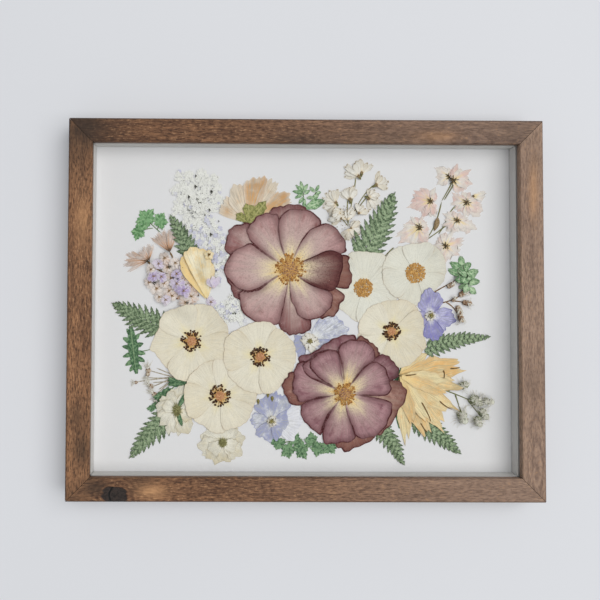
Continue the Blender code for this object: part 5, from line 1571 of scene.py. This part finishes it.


# ---- Roses -------------------------------------------------------------------------------
# Two roses pressed open: broad mauve petals laid one over the next, with dark rims and margins,
# partly the petals' own colour and partly painted shade where they overlap, cream rays at the base
# and a tuft of golden-brown stamens. The sixth cream flower lies between them in the pile.
ROSE_UPPER = ((-11.0, 32.5), [    # petals: finish, tone, edge as direction and reach
    (0, 0.7, [(72, 30), (75, 52), (83, 53.5), (95, 53.5), (102, 52.6), (112, 49), (120, 30)]),
    (0, 0.6, [(125, 20), (131, 50), (138, 55), (147, 60.5), (153, 58), (166, 53.5), (172, 30)]),
    (0, 0.9, [(160, 25), (172, 44), (184, 52.3), (192, 52.6), (200, 51.3), (208, 50.3), (218, 44),
              (220, 20)]),
    (1, 0.9, [(-24, 25), (-19, 49), (-11, 51.8), (-2, 50.2), (8, 49), (15, 47), (20, 25)]),
    (1, 0.7, [(-66, 25), (-58, 47), (-52, 50), (-45, 52.6), (-34, 51), (-25, 49), (-20, 30)]),
    (0, 0.8, [(255, 30), (259, 48), (267, 52.6), (274, 54.3), (281, 53.5), (291, 49.5), (297, 30)]),
    (0, 0.2, [(106, 15), (102, 44), (109, 49), (119, 51), (128, 50.6), (135, 49.5), (141, 45),
              (146, 37), (150, 15)]),
    (0, 0.25, [(58, 12), (55, 30), (53, 40), (56, 46), (63, 49.5), (73, 51.2), (84, 51), (94, 48.5),
               (101, 43), (106, 36), (109, 28), (112, 20), (113, 12)]),
    (0, 0.1, [(22, 12), (17, 44), (22, 50), (30, 51.7), (40, 51), (50, 49), (58, 43), (64, 36),
              (68, 27), (71, 18), (72, 12)]),
    (0, 0.15, [(206, 12), (213, 28), (209, 38), (204, 45), (210, 48.5), (224, 53.5), (240, 51),
               (257, 46.5), (260, 38), (262, 12)]),
    (0, 0.2, [(268, 10), (271, 24), (277, 31), (280, 39), (288, 43.5), (299, 46), (311, 47),
              (319, 46), (326, 42), (331, 36), (322, 12)]),
    (0, 0.0, [(150, 12), (147, 30), (146, 38), (153, 43), (162, 49), (174, 53), (186, 53.2),
              (198, 47.5), (206, 42), (211, 34), (212, 26), (208, 12)]),
    (2, 0.3, [(-42, 12), (-36, 24), (-30, 34), (-26, 39.5), (-12, 42.3), (0, 43.3), (10, 44),
              (18, 43.3), (24, 39), (28, 32), (29, 22), (33, 12)]),
], 12.5)
ROSE_LOWER = ((34.0, -69.5), [
    (0, 0.5, [(76, 30), (78, 46.5), (88, 48), (99, 47), (109, 44), (119, 42.8), (130, 43.7),
              (144, 46.8), (150, 30)]),
    (1, 0.9, [(44, 25), (47, 42.5), (52, 45), (60, 47.6), (68, 48.2), (77, 47), (82, 25)]),
    (1, 1.0, [(152, 25), (157, 45.5), (163, 49.2), (169, 51.4), (176, 50.8), (184, 48.5), (194, 41),
              (198, 20)]),
    (0, 0.7, [(12, 25), (16, 43), (22, 47.5), (29, 48.5), (37, 48.2), (44, 45.6), (49, 41),
              (52, 20)]),
    (1, 0.5, [(-62, 20), (-52, 43), (-40, 44.3), (-28, 46), (-18, 46.6), (-8, 49), (3, 49.9),
              (9, 47.8), (15, 44), (18, 25)]),
    (1, 1.0, [(252, 25), (260, 43), (266, 45.3), (271, 47.6), (277, 46.4), (287, 45), (300, 43.6),
              (306, 42), (312, 25)]),
    (0, 0.3, [(138, 20), (141, 42), (146, 45), (154, 45.3), (164, 44.4), (175, 43), (183, 40),
              (192, 36), (188, 14)]),
    (0, 0.25, [(92, 12), (94, 28), (100, 36), (110, 38), (120, 40), (133, 41), (146, 41.4),
               (152, 37), (156, 31), (155, 25), (150, 12)]),
    (0, 0.35, [(93, 12), (95, 28), (100, 35), (109, 37.4), (118, 39.2), (128, 40), (136, 39),
               (143, 35.5), (147, 29), (150, 22), (149, 12)]),
    (0, 0.05, [(57, 12), (53, 26), (48, 36), (51, 40), (60, 44.5), (69, 46.4), (78, 45.7), (88, 43),
               (96, 38.5), (99, 34), (95, 24), (92, 12)]),
    (0, 0.1, [(-6, 12), (-3, 33), (5, 38), (14, 38.7), (23, 39.3), (33, 39), (44, 37.3), (50, 34),
              (53, 28), (55, 20), (56, 12)]),
    (0, 0.3, [(189, 12), (190, 25), (194, 35.5), (200, 38), (210, 40.7), (218, 40.2), (228, 39),
              (240, 39.3), (236, 32), (231, 14)]),
    (0, 0.4, [(231, 13), (234, 26), (239, 35), (247, 43.1), (257, 42.5), (268, 40), (280, 38.6),
              (286, 33), (284, 14)]),
    (0, 0.15, [(275, 13), (282, 26), (284, 35), (292, 40), (304, 41.6), (318, 42.6), (330, 42.6),
               (342, 41), (351, 36), (355, 13)]),
], 9.0)


def lay_rose(node, centre, petals, boss, finishes, seed):
    """Petals from the back upwards, then arching filaments of uneven length with an anther on
    each, round a knot of carpels."""
    press = Pressing(node + "_petals", seed)
    centre = np.array(centre)
    for slot, tone, edge in petals:
        edge = drawn_through(edge, 41)
        press.fan(centre, edge[:, 0], edge[:, 1], tone, slot, ruffle=0.9)
    count = round(15 * boss)
    angle = press.draw.uniform(0, 2 * math.pi, count)
    reach = boss * press.draw.uniform(0.25, 1.05, count)
    ends = centre + np.column_stack([reach * np.cos(angle), reach * np.sin(angle)])
    lay_filaments(press, centre, ends, 0.22, 0.5, 3)
    radii = press.draw.uniform(0.45, 0.8, count)
    lay_beads(press, ends, radii, 0.25, press.draw.uniform(0, 1, count), 4, 1.4)
    middle = spiral(60, centre, boss * 0.5, boss * 0.5) + press.draw.uniform(-0.4, 0.4, (60, 2))
    lay_beads(press, middle, 0.65, 0.4, press.draw.uniform(0, 1, 60), 5)
    press.make([*finishes, gold_stamen, rust_anther, rose_carpel], node)


# The dark rims and wide dark margins of the rose finishes are partly the petals' own colour and
# partly painted shade where the petals overlap.
ROSE_RIM = (84, 44, 46)
DUSKY_RIM = (70, 36, 38)
CREAM_RAYS = [((244, 228, 182), 0.62, 0.95), ((240, 194, 104), 0.36, 0.8)]
pale_rose = petal_finish(
    "rose_petal", (194, 156, 154), (144, 98, 96), [((218, 200, 190), 1.15, 0.7), *CREAM_RAYS],
    ROSE_RIM, 0.8, 0.97, veins=0.5, blotch=1.3, margin=0.55, margin_width=7.0, speckle=0.35,
    depth=0.0006
)
tan_rose = petal_finish(
    "tan_rose_petal", (190, 150, 138), (140, 96, 86), [((204, 178, 158), 1.0, 0.7)],
    ROSE_RIM, 0.8, 0.97, veins=0.5, blotch=1.3, margin=0.45, margin_width=5.0, speckle=0.35,
    depth=0.0006
)
dusky_rose = petal_finish(
    "dusky_rose_petal", (112, 70, 70), (132, 90, 82), [((204, 182, 168), 1.0, 0.95), *CREAM_RAYS],
    DUSKY_RIM, 0.8, 0.95, veins=0.4, blotch=0.6, margin=0.5, speckle=0.5, depth=0.0006
)
wine_rose = petal_finish(
    "wine_rose_petal", (182, 142, 146), (128, 84, 92), [((206, 184, 174), 1.0, 0.7), *CREAM_RAYS],
    ROSE_RIM, 0.8, 0.97, veins=0.6, blotch=1.3, margin=0.6, margin_width=6.0, speckle=0.35,
    depth=0.0007
)
rust_anther = plain_finish("rust_anther", (214, 160, 84), (128, 78, 36), 1500)
rose_carpel = plain_finish("rose_carpel", (190, 148, 122), (124, 84, 68), 1500)
lay_rose("rose_upper", *ROSE_UPPER, [pale_rose, tan_rose, dusky_rose], 131)
lay_cream_flower(6, warm_cream)
lay_rose("rose_lower", *ROSE_LOWER, [wine_rose, tan_rose, dusky_rose], 132)


# ---- Floor, light and camera -------------------------------------------------------------
# A plain pale floor, one large soft lamp high up on the right and a pale sky. The camera looks
# almost straight down from a little left of the frame's middle, as in the photograph.
FLOOR_TINT = (232, 234, 238)
LAMP_PLACE = (1.95, 0.4, 4.6)
LAMP_SIZE = 6.0
LAMP_WATTS = 238.0
LAMP_TINT = (1.0, 0.985, 0.97)
SKY_TINT = (0.93, 0.96, 1.0, 1.0)
SKY_STRENGTH = 0.32
CAMERA_PLACE = (-0.0741, 0.0094, 0.5024)
CAMERA_TURN = (1.53, -0.42, 0.26)             # degrees about X, Y and Z
CAMERA_LENS = 36.0
CAMERA_SHIFT = (0.1368, -0.0318)


def pale_floor():
    """A flat sheet four metres square with a very faint cloudy tone."""
    mesh = bpy.data.meshes.new("pale_floor")
    corners = [(-2, -2, 0), (2, -2, 0), (2, 2, 0), (-2, 2, 0)]
    mesh.from_pydata(corners, [], [(0, 1, 2, 3)])
    material, start = begin_finish("pale_floor")
    spot = start.place()
    clouds = spot.noise(3, 2.0)
    colour = clouds.mix(srgb(*FLOOR_TINT), darker(FLOOR_TINT, 0.95))
    end_finish(material, colour, 0.9, specular_ior_level=0.1)
    mesh.materials.append(material)
    floor = bpy.data.objects.new("pale_floor", mesh)
    bpy.context.scene.collection.objects.link(floor)


def soft_lamp():
    """A square lamp that faces the frame's middle."""
    lamp = bpy.data.lights.new("window", "AREA")
    lamp.size = LAMP_SIZE
    lamp.energy = LAMP_WATTS
    lamp.color = LAMP_TINT
    made = bpy.data.objects.new("window", lamp)
    made.location = LAMP_PLACE
    direction = -np.array(LAMP_PLACE)
    flat = math.hypot(direction[0], direction[1])
    tilt = math.atan2(flat, -direction[2])
    heading = math.atan2(direction[1], direction[0]) - math.pi / 2
    made.rotation_euler = (tilt, 0, heading)
    bpy.context.scene.collection.objects.link(made)


pale_floor()
soft_lamp()
sky = bpy.data.worlds.new("pale_sky")
sky.use_nodes = True
background = sky.node_tree.nodes["Background"]
background.inputs["Color"].default_value = SKY_TINT
background.inputs["Strength"].default_value = SKY_STRENGTH
bpy.context.scene.world = sky
bpy.context.scene.view_settings.view_transform = "Standard"

view = bpy.data.cameras.new("camera")
view.lens = CAMERA_LENS
view.shift_x, view.shift_y = CAMERA_SHIFT
view.clip_start = 0.02
camera = bpy.data.objects.new("camera", view)
camera.location = CAMERA_PLACE
camera.rotation_euler = [math.radians(angle) for angle in CAMERA_TURN]
bpy.context.scene.collection.objects.link(camera)
bpy.context.scene.camera = camera
